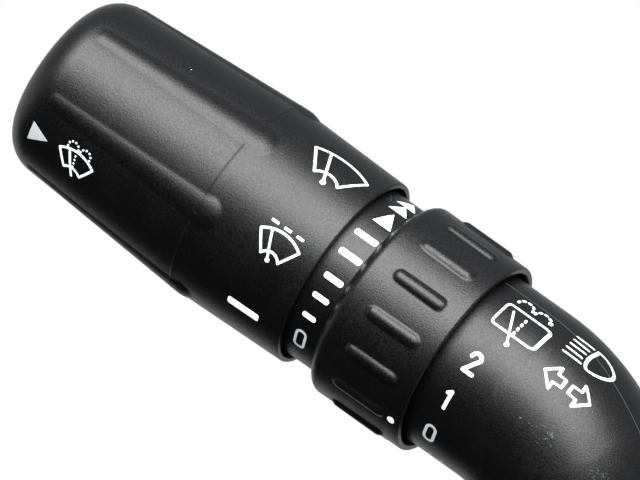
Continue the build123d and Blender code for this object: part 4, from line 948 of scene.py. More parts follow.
@dataclass
class RearWiperRing:
    """The ring with raised oblong bars, a bevelled shoulder and a thin lip over the lever."""

    axis: GripAxis
    start_radius: float = 13.56
    radius: float = 15.5
    shoulder: float = 2.0
    shoulder_pull: float = 0.8
    edge_round: float = 0.3
    draft: float = 0.15
    lip_radius: float = 14.45
    lip_depth: float = 3.9
    bore_radius: float = 12.05
    bar_count: int = 15
    bar_first_turn: float = 45.0
    bar_proud: float = 0.4
    bar_width: float = 2.0
    bar_length: float = 8.8
    bar_end_setback: float = 7.2
    stop_count: int = 4
    stop_step: float = 27.0
    stop_reach: float = 0.44
    stop_width: float = 0.7

    def rows(self) -> tuple[list[Row], list[Row]]:
        """Rows of the outside and of the inside, between the ring's two ends in the frame."""
        low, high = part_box("rear_wiper_ring")
        start, end = self.axis.station(low.x), self.axis.station(high.x)
        shoulder = start + self.shoulder
        knots = ((start, self.start_radius), (start + self.shoulder_pull, self.radius), (shoulder, self.radius))
        outer = []
        for share in spread(0.0, 1.0, 0.1):
            weights = ((1 - share) ** 2, 2 * share * (1 - share), share**2)
            outer.append(tuple(sum(weight * knot[side] for weight, knot in zip(weights, knots)) for side in (0, 1)))
        bar_end = end - self.bar_end_setback + self.bar_length / 2
        bar_start = bar_end - self.bar_length
        stations = [shoulder] + spread(shoulder + 0.3, bar_start + 1.6, 0.25)
        stations += spread(bar_start + 1.6, bar_end - 1.6, 0.9) + spread(bar_end - 1.6, bar_end + 0.4, 0.25)
        stations += spread(bar_end + 0.4, end - self.edge_round, 1.2)
        slope = self.draft / (end - shoulder)
        outer += [(station, self.radius - slope * (station - shoulder)) for station in stations]
        edge = self.radius - self.draft
        outer += [
            (end - self.edge_round, edge),
            (end - self.edge_round * 0.4, edge - self.edge_round * 0.2),
            (end, edge - self.edge_round * 2 / 3),
        ]
        cavity = end - self.lip_depth
        inner = [
            (end, self.lip_radius + 0.1), (end - 0.1, self.lip_radius), (cavity, self.lip_radius),
            (cavity, self.bore_radius), (start, self.bore_radius),
        ]
        return outer, inner

    def stop_notch(self, station: float, turns: np.ndarray) -> np.ndarray:
        """Give how much deeper the bore is at each turn, where a click groove runs."""
        deeper = np.zeros(len(turns))
        if station > self.axis.station(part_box("rear_wiper_ring")[1].x) - self.lip_depth:
            return deeper
        for index in range(self.stop_count):
            local = (turns + math.radians(index * self.stop_step) + math.pi) % TAU - math.pi
            side = np.abs(local) * self.bore_radius / self.stop_width
            deeper += np.where(side < 1, self.stop_reach * np.sqrt(np.maximum(1 - side**2, 0)), 0.0)
        return deeper

    def build(self, tree: bpy.types.GeometryNodeTree) -> bpy.types.Object:
        """Build the ring with its bars and settle it on its body.

        Args:
            tree: The rib tree.

        Returns:
            The finished ring.
        """
        outer, inner = self.rows()
        end = self.axis.station(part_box("rear_wiper_ring")[1].x)
        radius = crown_radius(self.radius, self.bar_width, self.bar_proud)
        half = self.bar_length / 2 - run_out(radius, self.bar_proud)
        middle = end - self.bar_end_setback
        pattern = RibPattern(
            first_turn=self.bar_first_turn,
            step=360 / self.bar_count,
            count=self.bar_count,
            tip_station=middle - half,
            nose_station=middle + half,
            tip_radius=radius,
            nose_radius=radius,
            height=self.radius + self.bar_proud - radius,
            blend=0.05,
        )
        shell = TurnedShell("rear_wiper_ring_grip", self.axis, outer, inner, columns=540, notch=self.stop_notch)
        ring = raise_ribs(shell.build(), self.axis, pattern, tree, KNOB_PLASTIC)
        settle(ring, Body.RING, ["rear_wiper_ring"])
        return ring


# Printed signs


@dataclass
class Sign:
    """A printed sign as strokes and filled shapes on a flat sheet.

    Places are in millimetres: along the grip from the sign's middle, and up round it.
    """

    station: float
    turn: float
    strokes: list[tuple[list[Point], float]] = field(default_factory=list)
    filled: list[list[Point]] = field(default_factory=list)

    def line(self, *points: Point, width: float) -> "Sign":
        """Add a stroke with round ends through points."""
        self.strokes.append((list(points), width))
        return self

    def loop(self, points: list[Point], width: float) -> "Sign":
        """Add a closed stroke through points."""
        self.strokes.append((points + points[:1], width))
        return self

    def dot(self, centre: Point, radius: float) -> "Sign":
        """Add a round dot."""
        self.strokes.append(([centre, centre], 2 * radius))
        return self

    def area(self, points: list[Point]) -> "Sign":
        """Add a filled shape."""
        self.filled.append(points)
        return self


def bow(start: Point, peak: Point, end: Point, steps: int = 10) -> list[Point]:
    """Give points of the circle's arc through three points.

    Args:
        start: First end.
        peak: A point between the ends.
        end: Last end.
        steps: Number of spans.

    Returns:
        The points, both ends with them.
    """
    (ax, ay), (bx, by), (cx, cy) = start, peak, end
    scale = 2 * (ax * (by - cy) + bx * (cy - ay) + cx * (ay - by))
    if abs(scale) < 1e-9:
        return [start, end]
    a2, b2, c2 = ax * ax + ay * ay, bx * bx + by * by, cx * cx + cy * cy
    ux = (a2 * (by - cy) + b2 * (cy - ay) + c2 * (ay - by)) / scale
    uy = (a2 * (cx - bx) + b2 * (ax - cx) + c2 * (bx - ax)) / scale
    radius = math.hypot(ax - ux, ay - uy)
    first = math.atan2(ay - uy, ax - ux)
    middle = (math.atan2(by - uy, bx - ux) - first) % TAU
    sweep = (math.atan2(cy - uy, cx - ux) - first) % TAU
    if middle > sweep:
        sweep -= TAU
    return [
        (ux + radius * math.cos(first + sweep * index / steps), uy + radius * math.sin(first + sweep * index / steps))
        for index in range(steps + 1)
    ]


def windscreen(upper: Point, crown: float, lower: Point, sag: float) -> list[Point]:
    """Give the outline of a windscreen sign: two bowed edges joined by straight sides.

    Args:
        upper: Half width and height of the upper corners.
        crown: Height of the upper edge's middle.
        lower: Half width and height of the lower corners.
        sag: Height of the lower edge's middle.

    Returns:
        The closed outline's points.
    """
    top = bow((-upper[0], upper[1]), (0, crown), (upper[0], upper[1]))
    bottom = bow((lower[0], lower[1]), (0, sag), (-lower[0], lower[1]), 6)
    return top + bottom


def rounded_box(width: float, height: float, corner: float) -> list[Point]:
    """Give the outline of a box with round corners about the origin."""
    points = []
    for quarter, (sx, sy) in enumerate(((1, 1), (-1, 1), (-1, -1), (1, -1))):
        for step in range(4):
            angle = (quarter + step / 3) * math.pi / 2
            points.append((
                sx * (width / 2 - corner) + corner * math.cos(angle),
                sy * (height / 2 - corner) + corner * math.sin(angle),
            ))
    return points


@dataclass
class SignSheet:
    """All signs of one surface, cut as one flat sheet of ink and printed on by a node tree."""

    name: str
    signs: list[Sign]
    cell: float = 0.1
    reference_radius: float = 15.0

    def sheet(self) -> bpy.types.Object:
        """Cut every sign out of a fine grid and give the flat slabs as one mesh.

        The slab's height is 0 at the surface and 1 at the top of the film.

        Returns:
            The flat mesh object: X along the grip, Y round it, both in metres.
        """
        points: list[tuple[float, float, float]] = []
        faces: list[tuple[int, ...]] = []
        for sign in self.signs:
            self.cut(sign, points, faces)
        mesh = bpy.data.meshes.new(self.name)
        mesh.from_pydata(points, [], faces)
        made = bpy.data.objects.new(self.name, mesh)
        bpy.context.scene.collection.objects.link(made)
        return made

    def field_of(self, sign: Sign, across: np.ndarray, up: np.ndarray) -> np.ndarray:
        """Give the distance from each grid point to the sign's edge, minus inside the ink."""
        distance = np.full(across.shape, 1e3)
        for points, width in sign.strokes:
            for (ax, ay), (bx, by) in zip(points, points[1:]):
                dx, dy = bx - ax, by - ay
                length = max(dx * dx + dy * dy, 1e-12)
                share = np.clip(((across - ax) * dx + (up - ay) * dy) / length, 0, 1)
                gap = np.hypot(across - ax - share * dx, up - ay - share * dy)
                distance = np.minimum(distance, gap - width / 2)
        for outline in sign.filled:
            inside = np.zeros(across.shape, bool)
            gap = np.full(across.shape, 1e3)
            for (ax, ay), (bx, by) in zip(outline, outline[1:] + outline[:1]):
                dx, dy = bx - ax, by - ay
                share = np.clip(((across - ax) * dx + (up - ay) * dy) / (dx * dx + dy * dy), 0, 1)
                gap = np.minimum(gap, np.hypot(across - ax - share * dx, up - ay - share * dy))
                crosses = (ay > up) != (by > up)
                with np.errstate(divide="ignore", invalid="ignore"):
                    hit = crosses & (across < dx * (up - ay) / (dy if dy else 1e-9) + ax)
                inside ^= hit
            distance = np.minimum(distance, np.where(inside, -gap, gap))
        return distance

    def cut(self, sign: Sign, points: list, faces: list) -> None:
        """Cut one sign out of the grid as a closed slab.

        Args:
            sign: The sign.
            points: Corner list that is added to.
            faces: Face list that is added to.
        """
        spots = [spot for stroke, _ in sign.strokes for spot in stroke] + [s for shape in sign.filled for s in shape]
        low = np.array(spots).min(0) - 0.7
        high = np.array(spots).max(0) + 0.7
        size = np.ceil((high - low) / self.cell).astype(int) + 1
        across = low[0] + self.cell * np.arange(size[0])
        up = low[1] + self.cell * np.arange(size[1])
        grid = self.field_of(sign, *np.meshgrid(across, up, indexing="ij"))
        grid = np.where(np.abs(grid) < 1e-6, -1e-6, grid)
        middle_y = math.radians(sign.turn) * self.reference_radius
        known: dict[tuple, int] = {}

        def corner(key: tuple, x: float, y: float) -> int:
            if key not in known:
                known[key] = len(points)
                spot = ((sign.station + x) * MM, (middle_y + y) * MM)
                points.append((*spot, 0.0))
                points.append((*spot, 1.0))
            return known[key]

        inside = grid < 0
        touched = inside[:-1, :-1] | inside[1:, :-1] | inside[:-1, 1:] | inside[1:, 1:]
        walls: dict[tuple[int, int], bool] = {}
        for i, j in zip(*np.nonzero(touched)):
            around = [(i, j), (i + 1, j), (i + 1, j + 1), (i, j + 1)]
            shape = []
            for here, there in zip(around, around[1:] + around[:1]):
                a, b = grid[here], grid[there]
                if a < 0:
                    shape.append(corner(here, across[here[0]], up[here[1]]))
                if (a < 0) != (b < 0):
                    share = a / (a - b)
                    x = across[here[0]] + share * (across[there[0]] - across[here[0]])
                    y = up[here[1]] + share * (up[there[1]] - up[here[1]])
                    shape.append(corner((min(here, there), max(here, there)), x, y))
            if len(shape) < 3:
                continue
            faces.append(tuple(number + 1 for number in shape))
            faces.append(tuple(reversed(shape)))
            for edge in zip(shape, shape[1:] + shape[:1]):
                if (edge[1], edge[0]) in walls:
                    del walls[(edge[1], edge[0])]
                else:
                    walls[edge] = True
        for a, b in walls:
            faces.append((a, b, b + 1, a + 1))


PRINT_INPUTS = (
    "Rim X", "Axis Y", "Axis Z", "Reference Radius", "Bend Station", "Bend Radius", "Far", "Film",
)


def print_tree() -> bpy.types.GeometryNodeTree:
    """Build the tree that lays a flat sheet of ink onto a piece.

    Each point looks for the surface along the grip's radius, which follows the lever's bend past the
    bend station, and is set on it with the film's thickness.

    Returns:
        The tree.
    """
    tree = new_tree("printed_on", PRINT_INPUTS)
    tree.interface.new_socket("Target", in_out="INPUT", socket_type="NodeSocketObject")
    start = add_node(tree, "NodeGroupInput")
    given = start.outputs
    flat = add_node(tree, "ShaderNodeSeparateXYZ", add_node(tree, "GeometryNodeInputPosition"))
    turn = add_node(tree, "ShaderNodeMath", flat.outputs["Y"], given["Reference Radius"], operation="DIVIDE")
    past = add_node(tree, "ShaderNodeMath", flat.outputs["X"], given["Bend Station"], operation="SUBTRACT")
    on_bend = add_node(tree, "ShaderNodeMath", past, 0.0, operation="MAXIMUM")
    slope = add_node(tree, "ShaderNodeMath", on_bend, given["Bend Radius"], operation="DIVIDE")
    slope_sine = add_node(tree, "ShaderNodeMath", slope, operation="SINE")
    slope_cosine = add_node(tree, "ShaderNodeMath", slope, operation="COSINE")
    before = add_node(tree, "ShaderNodeMath", past, 0.0, operation="MINIMUM")
    straight = add_node(tree, "ShaderNodeMath", given["Bend Station"], before, operation="ADD")
    straight = add_node(tree, "ShaderNodeMath", straight, given["Rim X"], operation="ADD")
    middle_x = add_node(tree, "ShaderNodeMath", slope_sine, given["Bend Radius"], straight, operation="MULTIPLY_ADD")
    drop = add_node(tree, "ShaderNodeMath", 1.0, slope_cosine, operation="SUBTRACT")
    drop = add_node(tree, "ShaderNodeMath", drop, given["Bend Radius"], operation="MULTIPLY")
    middle_z = add_node(tree, "ShaderNodeMath", given["Axis Z"], drop, operation="SUBTRACT")
    middle = add_node(tree, "ShaderNodeCombineXYZ", middle_x, given["Axis Y"], middle_z)
    turn_sine = add_node(tree, "ShaderNodeMath", turn, operation="SINE")
    turn_cosine = add_node(tree, "ShaderNodeMath", turn, operation="COSINE")
    out_x = add_node(tree, "ShaderNodeMath", turn_sine, slope_sine, operation="MULTIPLY")
    out_y = add_node(tree, "ShaderNodeMath", turn_cosine, -1.0, operation="MULTIPLY")
    out_z = add_node(tree, "ShaderNodeMath", turn_sine, slope_cosine, operation="MULTIPLY")
    outward = add_node(tree, "ShaderNodeCombineXYZ", out_x, out_y, out_z)
    far = add_node(
        tree, "ShaderNodeVectorMath", outward, operation="SCALE", inputs={"Scale": given["Far"]}
    )
    eye = add_node(tree, "ShaderNodeVectorMath", middle, far, operation="ADD")
    inward = add_node(tree, "ShaderNodeVectorMath", outward, operation="SCALE", inputs={"Scale": -1.0})
    surface = add_node(tree, "GeometryNodeObjectInfo", given["Target"])
    hit = add_node(
        tree, "GeometryNodeRaycast", surface.outputs["Geometry"],
        inputs={"Source Position": eye.outputs[0], "Ray Direction": inward.outputs[0], "Ray Length": given["Far"]},
    )
    film = add_node(tree, "ShaderNodeMath", flat.outputs["Z"], given["Film"], operation="MULTIPLY")
    lift = add_node(tree, "ShaderNodeVectorMath", outward, operation="SCALE", inputs={"Scale": film.outputs[0]})
    target = add_node(tree, "ShaderNodeVectorMath", hit.outputs["Hit Position"], lift, operation="ADD")
    laid = add_node(
        tree, "GeometryNodeSetPosition", given["Geometry"], inputs={"Position": target.outputs[0]}
    )
    end_tree(tree, start, laid)
    return tree


@dataclass
class Printing:
    """The signs of the stalk: which surface each is on, and how thick the ink lies."""

    axis: GripAxis
    film: float = 0.03
    reach: float = 20.0
    camera_turn: float = 29.0
    band_radius: float = 13.55
    stalk_radius: float = 13.63
    straight: float = 8.8
    bend_radius: float = 19.5
    mould_station: float = -18.6

    def place(self, theta: float) -> float:
        """Turn an angle up from the camera's side into a turn up from the driver's side."""
        return theta + self.camera_turn

    def knob_signs(self) -> list[Sign]:
        """Signs on the knob, both sides of its mould line."""
        continuous = Sign(-6.73, self.place(46)).loop(windscreen((4.6, 1.66), 3.0, (2.05, -2.24), -1.18), 0.42)
        continuous.line((-2.22, 2.17), (0.02, -2.94), width=0.4).dot((0.02, -2.94), 0.45)
        interval = Sign(-6.14, self.place(-9)).loop(windscreen((3.33, 1.0), 2.07, (1.48, -1.89), -1.02), 0.38)
        interval.line((-1.71, 1.46), (-0.1, -2.32), width=0.36).dot((-0.1, -2.32), 0.36)
        for middle in (-2.1, 0.08, 2.23):
            interval.area([(middle + x, 2.79 + y) for x, y in rounded_box(1.25, 0.42, 0.08)])
        bar = Sign(-6.47, self.place(-53)).area(rounded_box(5.3, 1.3, 0.3))
        wash = Sign(-38.1, self.place(-42)).loop(windscreen((3.0, 1.3), 2.35, (1.41, -1.33), -0.63), 0.36)
        wash.line((-1.33, 1.73), (0.17, -2.04), width=0.38)
        for index in range(4):
            wash.dot((-0.22 + index * 0.06, 1.58 - index * 0.65), 0.17)
        for side in (-1, 1):
            for x, y in bow((side * 0.2, 2.73), (side * 1.05, 3.52), (side * 1.95, 2.4), 5):
                wash.dot((x, y), 0.17)
        return [continuous, interval, bar, wash]

    def tip_sign(self) -> list[Sign]:
        """The solid pointer at the knob's tip."""
        return [Sign(-46.26, self.place(-40.9)).area([(0, -1.83), (0, 1.83), (3.13, 0.27)])]

    def band_signs(self) -> list[Sign]:
        """The scale on the band: three pointers, five bars that get shorter, and a zero."""
        signs = []
        for theta, left, right, width in (
            (25.8, 1.0, 4.9, 1.0), (10.5, 1.05, 4.88, 1.0), (-6.4, 1.38, 4.6, 0.92), (-20.1, 1.42, 4.2, 0.86),
            (-34.7, 1.42, 3.72, 0.84),
        ):
            bar = rounded_box(right - left, width, 0.36)
            signs.append(Sign((left + right) / 2, self.place(theta)).area(bar))
        for base, point, middle in ((38.5, 52.4, 3.28), (55.9, 66.6, 3.26), (67.2, 80.0, 3.2)):
            up = math.radians(point - base) * 13.55
            signs.append(Sign(middle, self.place(base)).area([(-1.58, 0), (1.58, 0), (0, up)]))
        return signs

    def band_zero(self) -> list[Sign]:
        """The zero at the scale's low end, printed in grey as painted shade: white print darkened to its tone on the
        shaded lower side.
        """
        return [Sign(2.45, self.place(-54.1)).loop(rounded_box(1.54, 3.22, 0.6), 0.4)]

    def stalk_zero(self) -> list[Sign]:
        """The zero behind the ring, which leans a little, printed in grey as painted shade: white print darkened to its
        tone on the shaded lower side.
        """
        outline = [(x + 0.07 * y, y) for x, y in rounded_box(1.5, 3.25, 0.7)]
        return [Sign(25.47, self.place(-55.2)).loop(outline, 0.46)]

    def stalk_signs(self) -> list[Sign]:
        """Signs on the stalk behind the ring."""
        rear = Sign(27.86, self.place(37.84)).loop(rounded_box(6.8, 4.5, 0.55), 0.36)
        rear.line((-2.04, 1.31), (0.55, -3.81), width=0.34).dot((0.55, -3.81), 0.4)
        for index in range(4):
            rear.line((0.22, 1.2 - index * 0.95), (0.27, 0.9 - index * 0.95), width=0.42)
        for side in (-1, 1):
            arc = bow((side * 0.25, 3.45), (side * 1.45, 4.75), (side * 2.7, 3.5), 13)
            for index in range(0, 13, 3):
                rear.line(arc[index], arc[index + 1], width=0.43)
        two = Sign(26.35, self.place(1.15)).line(
            *bow((-0.78, 0.75), (0.02, 1.5), (0.74, 0.8), 8), (-0.78, -1.5), (0.8, -1.5), width=0.6
        )
        one = Sign(25.95, self.place(-25.9)).line((-0.42, 0.95), (0.14, 1.4), (0.06, -1.4), width=0.55)
        beam = Sign(35.0, self.place(53.8))
        for first, last in (
            ((-2.18, 1.59), (-0.6, 2.29)), ((-2.11, 0.52), (-0.7, 0.95)), ((-2.06, -0.57), (-0.63, -0.08)),
            ((-2.01, -1.62), (-0.56, -1.24)), ((-1.94, -2.65), (-0.26, -2.12)),
        ):
            beam.line(first, last, width=0.32)
        beam.loop([
            (-0.1, 2.7), (0.35, 2.9), (0.85, 2.88), (1.45, 2.62), (1.95, 2.15), (2.3, 1.55), (2.38, 0.85), (2.25, 0.1),
            (1.95, -0.65), (1.55, -1.3), (1.1, -1.78), (0.7, -2.05), (0.38, -2.12), (0.1, -1.6), (-0.1, -0.6),
            (-0.15, 0.6), (-0.1, 1.7),
        ], 0.34)
        to_left = Sign(34.5, self.place(25.2)).loop([
            (-1.27, -0.17), (-0.28, 1.88), (-0.08, 0.69), (0.74, 0.99), (0.93, -0.39), (0.03, -0.71), (0.17, -1.85)
        ], 0.32)
        to_right = Sign(36.8, self.place(29.0)).loop([
            (1.34, 0.59), (-0.12, 1.92), (0.07, 0.75), (-0.81, 0.29), (-0.63, -1.09), (0.29, -0.71), (0.5, -1.9)
        ], 0.32)
        return [rear, two, one, beam, to_left, to_right]

    def mould_line(self) -> list[Sign]:
        """The knob's mould line: a fine uneven bead that also runs over the ribs."""
        chance = np.random.default_rng(11)
        signs = []
        for index in range(90):
            if chance.random() < 0.12:
                continue
            start, end = chance.uniform(-0.05, 0.05, 2)
            sign = Sign(self.mould_station, index * 4.0)
            signs.append(sign.line((start, 0.0), (end, math.radians(4.0) * 15.0), width=0.13))
        return signs

    def line_bits(self) -> list[Sign]:
        """Bits of flash that stand on the knob's mould line."""
        bits = Sign(self.mould_station, self.place(0))
        for theta, aside, radius in ((6.5, 0.18, 0.12), (5.6, -0.1, 0.09), (-7, 0.1, 0.08), (13, -0.08, 0.09), (-19, 0.05, 0.1)):
            bits.dot((aside, math.radians(theta) * 15.0), radius)
        return [bits]

    def stalk_seam(self) -> list[Sign]:
        """The bead along the top of the stalk where its two shells meet."""
        seam = Sign(30.0, self.place(58))
        return [seam.line((-8.4, 0.85), (-1.2, 0.85), (2.4, 0.5), (5.5, 0.05), (8.1, -0.5), (10.3, -0.8), (13.0, -0.9), width=0.12)]

    def flash_flecks(self) -> list[Sign]:
        """Torn specks of flash along the stalk's lower edge."""
        chance = np.random.default_rng(5)
        flecks = Sign(28.0, self.place(-82))
        for _ in range(46):
            x, y = chance.normal(0, 2.3), chance.normal(0, 0.55)
            flecks.line((x, y), (x + chance.normal(0, 0.16), y + chance.normal(0, 0.12)), width=chance.uniform(0.08, 0.2))
        return [flecks]

    def scuffs(self) -> list[Sign]:
        """Dull rubbed streaks on the stalk."""
        chance = np.random.default_rng(3)
        scuffs = Sign(38.0, self.place(4))
        for x, y, spread_x, spread_y, count in ((0.3, -0.7, 0.5, 0.3, 16), (-1.2, -2.2, 0.9, 0.5, 12), (6.2, 2.6, 0.9, 0.8, 26)):
            for _ in range(count):
                px, py = x + chance.normal(0, spread_x), y + chance.normal(0, spread_y)
                scuffs.line((px, py), (px + chance.normal(0.15, 0.12), py + chance.normal(0.2, 0.12)), width=0.09)
        return [scuffs]

    def band_scratches(self) -> list[Sign]:
        """Hair scratches on the band by the pointers."""
        hair = Sign(1.0, self.place(64))
        hair.line((-1.2, -0.6), (0.1, -0.1), (1.3, -0.35), width=0.07)
        return [hair.line((-0.9, 1.6), (-0.3, 0.6), (0.2, -0.5), width=0.07).line((-0.2, 1.9), (0.7, 0.4), width=0.06)]

    def build(self, tree: bpy.types.GeometryNodeTree, knob: bpy.types.Object, band: bpy.types.Object,
              ring: bpy.types.Object, stalk: bpy.types.Object) -> None:
        """Print every sign on its piece.

        Args:
            tree: The printing tree.
            knob: The knob, which carries the wiper signs.
            band: The scale band.
            ring: The ring, which carries the dot.
            stalk: Both lever shells as one mesh. It is removed afterwards.
        """
        dot = [Sign(20.02, self.place(-56.5)).dot((0, 0), 0.6)]
        bend = self.axis.station(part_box("rear_wiper_ring")[1].x) + self.straight
        for name, signs, target, body, slot, finish, bend_station in (
            ("print_wiper_signs", self.knob_signs(), knob, Body.KNOB, Slot.KNOB, WHITE_INK, 1000.0),
            ("print_tip_pointer", self.tip_sign(), knob, Body.KNOB, Slot.KNOB, GREY_INK_AND_PAINTED_SHADE, 1000.0),
            ("print_band_scale", self.band_signs(), band, Body.LEVER, Slot.LEVER, WHITE_INK, 1000.0),
            # The band's zero lies on the shaded lower side: its grey ink is painted shade on white print.
            ("print_band_zero", self.band_zero(), band, Body.LEVER, Slot.LEVER, GREY_INK_AND_PAINTED_SHADE, 1000.0),
            ("knob_mould_line", self.mould_line(), knob, Body.KNOB, Slot.KNOB, KNOB_PLASTIC, 1000.0),
            ("knob_flash_bits", self.line_bits(), knob, Body.KNOB, Slot.KNOB, RUBBED_PLASTIC, 1000.0),
            ("knob_dust_speck", [Sign(-32.4, self.place(47.8)).dot((0, 0), 0.1)], knob, Body.KNOB, Slot.KNOB, WHITE_INK, 1000.0),
            ("band_scratches", self.band_scratches(), band, Body.LEVER, Slot.LEVER, RUBBED_PLASTIC, 1000.0),
            ("print_ring_dot", dot, ring, Body.RING, Slot.KNOB, WHITE_INK, 1000.0),
            ("print_stalk_signs", self.stalk_signs(), stalk, Body.LEVER, Slot.LEVER, WHITE_INK, bend),
            ("stalk_seam_bead", self.stalk_seam(), stalk, Body.LEVER, Slot.LEVER, RUBBED_PLASTIC, bend),
            ("stalk_flash_flecks", self.flash_flecks(), stalk, Body.LEVER, Slot.LEVER, TORN_FLASH, bend),
            ("stalk_scuffs", self.scuffs(), stalk, Body.LEVER, Slot.LEVER, RUBBED_PLASTIC, bend),
            # The stalk's zero lies on the shaded lower side: its grey ink is painted shade on white print.
            ("print_stalk_zero", self.stalk_zero(), stalk, Body.LEVER, Slot.LEVER, GREY_INK_AND_PAINTED_SHADE, bend),
        ):
            radius = self.stalk_radius if target is stalk else (self.band_radius if target is band else 15.0)
            sheet = SignSheet(name, signs, reference_radius=radius).sheet()
            piece = run_tree(sheet, tree, {
                "Rim X": self.axis.rim_x, "Axis Y": self.axis.axis_y, "Axis Z": self.axis.axis_z,
                "Reference Radius": radius * MM, "Bend Station": bend_station * MM, "Bend Radius": self.bend_radius * MM,
                "Far": self.reach * MM, "Film": self.film * MM, "Material": finish.material(), "Target": target,
            })
            settle(piece, body)
        bpy.data.objects.remove(stalk, do_unlink=True)


# Pieces that keep their frame shape


def clean_copy(names: Sequence[str], name: str, sharp: float = 30.0) -> bpy.types.Object:
    """Copy nodes into one merged mesh, shaded smooth with crisp edges.

    Args:
        names: Nodes to copy.
        name: Name of the copy.
        sharp: Angle in degrees above which an edge stays crisp.

    Returns:
        The copy as a new object.
    """
    work = bmesh.new()
    for node in names:
        work.from_mesh(frame["nodes"][node].data)
    bmesh.ops.remove_doubles(work, verts=work.verts, dist=0.001 * MM)
    mesh = bpy.data.meshes.new(name)
    work.to_mesh(mesh)
    work.free()
    mesh.shade_smooth()
    mesh.set_sharp_from_angle(angle=math.radians(sharp))
    made = bpy.data.objects.new(name + "_raw", mesh)
    bpy.context.scene.collection.objects.link(made)
    even = made.modifiers.new("even_shading", "WEIGHTED_NORMAL")
    even.mode = "FACE_AREA"
    even.keep_sharp = True
    return finished_copy(made, name)


@dataclass(frozen=True)
class DressedNode:
    """A node that is shown by a clean, smoothly shaded copy of itself."""

    node: str
    body: Body
    slot: Slot
    sharp: float = 30.0

    def build(self) -> bpy.types.Object:
        """Build the copy, give it its finish and settle it in the node's place.

        Returns:
            The finished copy.
        """
        piece = clean_copy([self.node], self.node + "_skin", self.sharp)
        piece.data.materials.clear()
        piece.data.materials.append(SLOT_FINISH[self.slot].material())
        settle(piece, self.body, [self.node])
        return piece


DRESSED_NODES = (
    DressedNode("lever_shell_front", Body.LEVER, Slot.LEVER),
    DressedNode("lever_shell_rear", Body.LEVER, Slot.LEVER),
    DressedNode("lever_root", Body.LEVER, Slot.ACETAL),
    DressedNode("ribbon_cable", Body.LEVER, Slot.RIBBON),
    DressedNode("turn_carrier", Body.YOKE, Slot.ACETAL),
    DressedNode("cancel_pawl", Body.PAWL, Slot.ACETAL),
    DressedNode("turn_contact_slider", Body.SLIDER, Slot.ACETAL),
    DressedNode("housing_base", Body.ROOT, Slot.HOUSING),
    DressedNode("housing_cover", Body.ROOT, Slot.HOUSING),
    DressedNode("mount_bushes", Body.ROOT, Slot.BRASS),
)


def dress_frame_nodes() -> None:
    """Give every node that stays as it is the finish of its slot."""
    for part in frame["record"]["subparts"]:
        piece = frame["nodes"][part["node"]]
        finish = SLOT_FINISH[Slot(part["material_slot"])].material()
        piece.data.materials.clear()
        piece.data.materials.append(finish)


# Repeated fittings


def place_tree() -> bpy.types.GeometryNodeTree:
    """Build the tree that sets a copy of one part at each point, turned by its attribute "turn"."""
    tree = new_tree("set_in_places", ())
    tree.interface.new_socket("Part", in_out="INPUT", socket_type="NodeSocketObject")
    start = add_node(tree, "NodeGroupInput")
    part = add_node(tree, "GeometryNodeObjectInfo", start.outputs["Part"])
    turn = add_node(tree, "GeometryNodeInputNamedAttribute", "turn", data_type="FLOAT_VECTOR")
    rotation = add_node(tree, "FunctionNodeEulerToRotation", turn)
    placed = add_node(
        tree, "GeometryNodeInstanceOnPoints", start.outputs["Geometry"],
        inputs={"Instance": part.outputs["Geometry"], "Rotation": rotation.outputs[0]},
    )
    end_tree(tree, start, placed)
    return tree


def coil_tree() -> bpy.types.GeometryNodeTree:
    """Build the tree that winds round wire into a coil along Z."""
    tree = new_tree("coil_spring", ("Radius", "Wire", "Length", "Turns"))
    start = add_node(tree, "NodeGroupInput")
    given = start.outputs
    line = add_node(
        tree, "GeometryNodeCurveSpiral",
        inputs={
            "Resolution": 40, "Rotations": given["Turns"], "Start Radius": given["Radius"],
            "End Radius": given["Radius"], "Height": given["Length"],
        },
    )
    half = add_node(tree, "ShaderNodeMath", given["Wire"], 0.5, operation="MULTIPLY")
    section = add_node(tree, "GeometryNodeCurvePrimitiveCircle", inputs={"Resolution": 16, "Radius": half.outputs[0]})
    wire = add_node(tree, "GeometryNodeCurveToMesh", line, section, inputs={"Fill Caps": True})
    end_tree(tree, start, wire)
    return tree


@dataclass(frozen=True)
class CoilSpring:
    """A compression spring along X, wound where its node is and settled on its body."""

    node: str
    body: Body
    joint: str
    wire: float
    turns: float
    travel: float
    held_at_far_end: bool = True

    def build(self, tree: bpy.types.GeometryNodeTree) -> None:
        """Wind the spring where its node is, and settle it on its body.

        Args:
            tree: The coil tree.
        """
        low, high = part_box(self.node)
        middle = (low + high) / 2
        wire = self.wire * MM
        mesh = bpy.data.meshes.new(self.node)
        made = bpy.data.objects.new(self.node + "_coil", mesh)
        bpy.context.scene.collection.objects.link(made)
        spring = run_tree(made, tree, {
            "Radius": (high.y - low.y) / 2 - wire / 2, "Wire": wire, "Length": high.x - low.x - wire,
            "Turns": self.turns, "Material": SPRING_STEEL.material(),
        })
        along_x = Matrix.Rotation(math.pi / 2, 4, "Y")
        spring.data.transform(Matrix.Translation((low.x + wire / 2, middle.y, middle.z)) @ along_x)
        spring.data.shade_smooth()
        settle(spring, self.body, [self.node])
        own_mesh(spring)


COIL_SPRINGS = (
    CoilSpring("washer_return_spring", Body.ROTOR, "washer_push", 0.9, 5.0, 2.5),
    CoilSpring("wiper_detent_spring", Body.LEVER, "wiper_detent_press", 0.3, 5.0, 0.8),
    CoilSpring("turn_detent_spring", Body.YOKE, "turn_detent_press", 0.3, 5.0, 1.5, held_at_far_end=False),
)


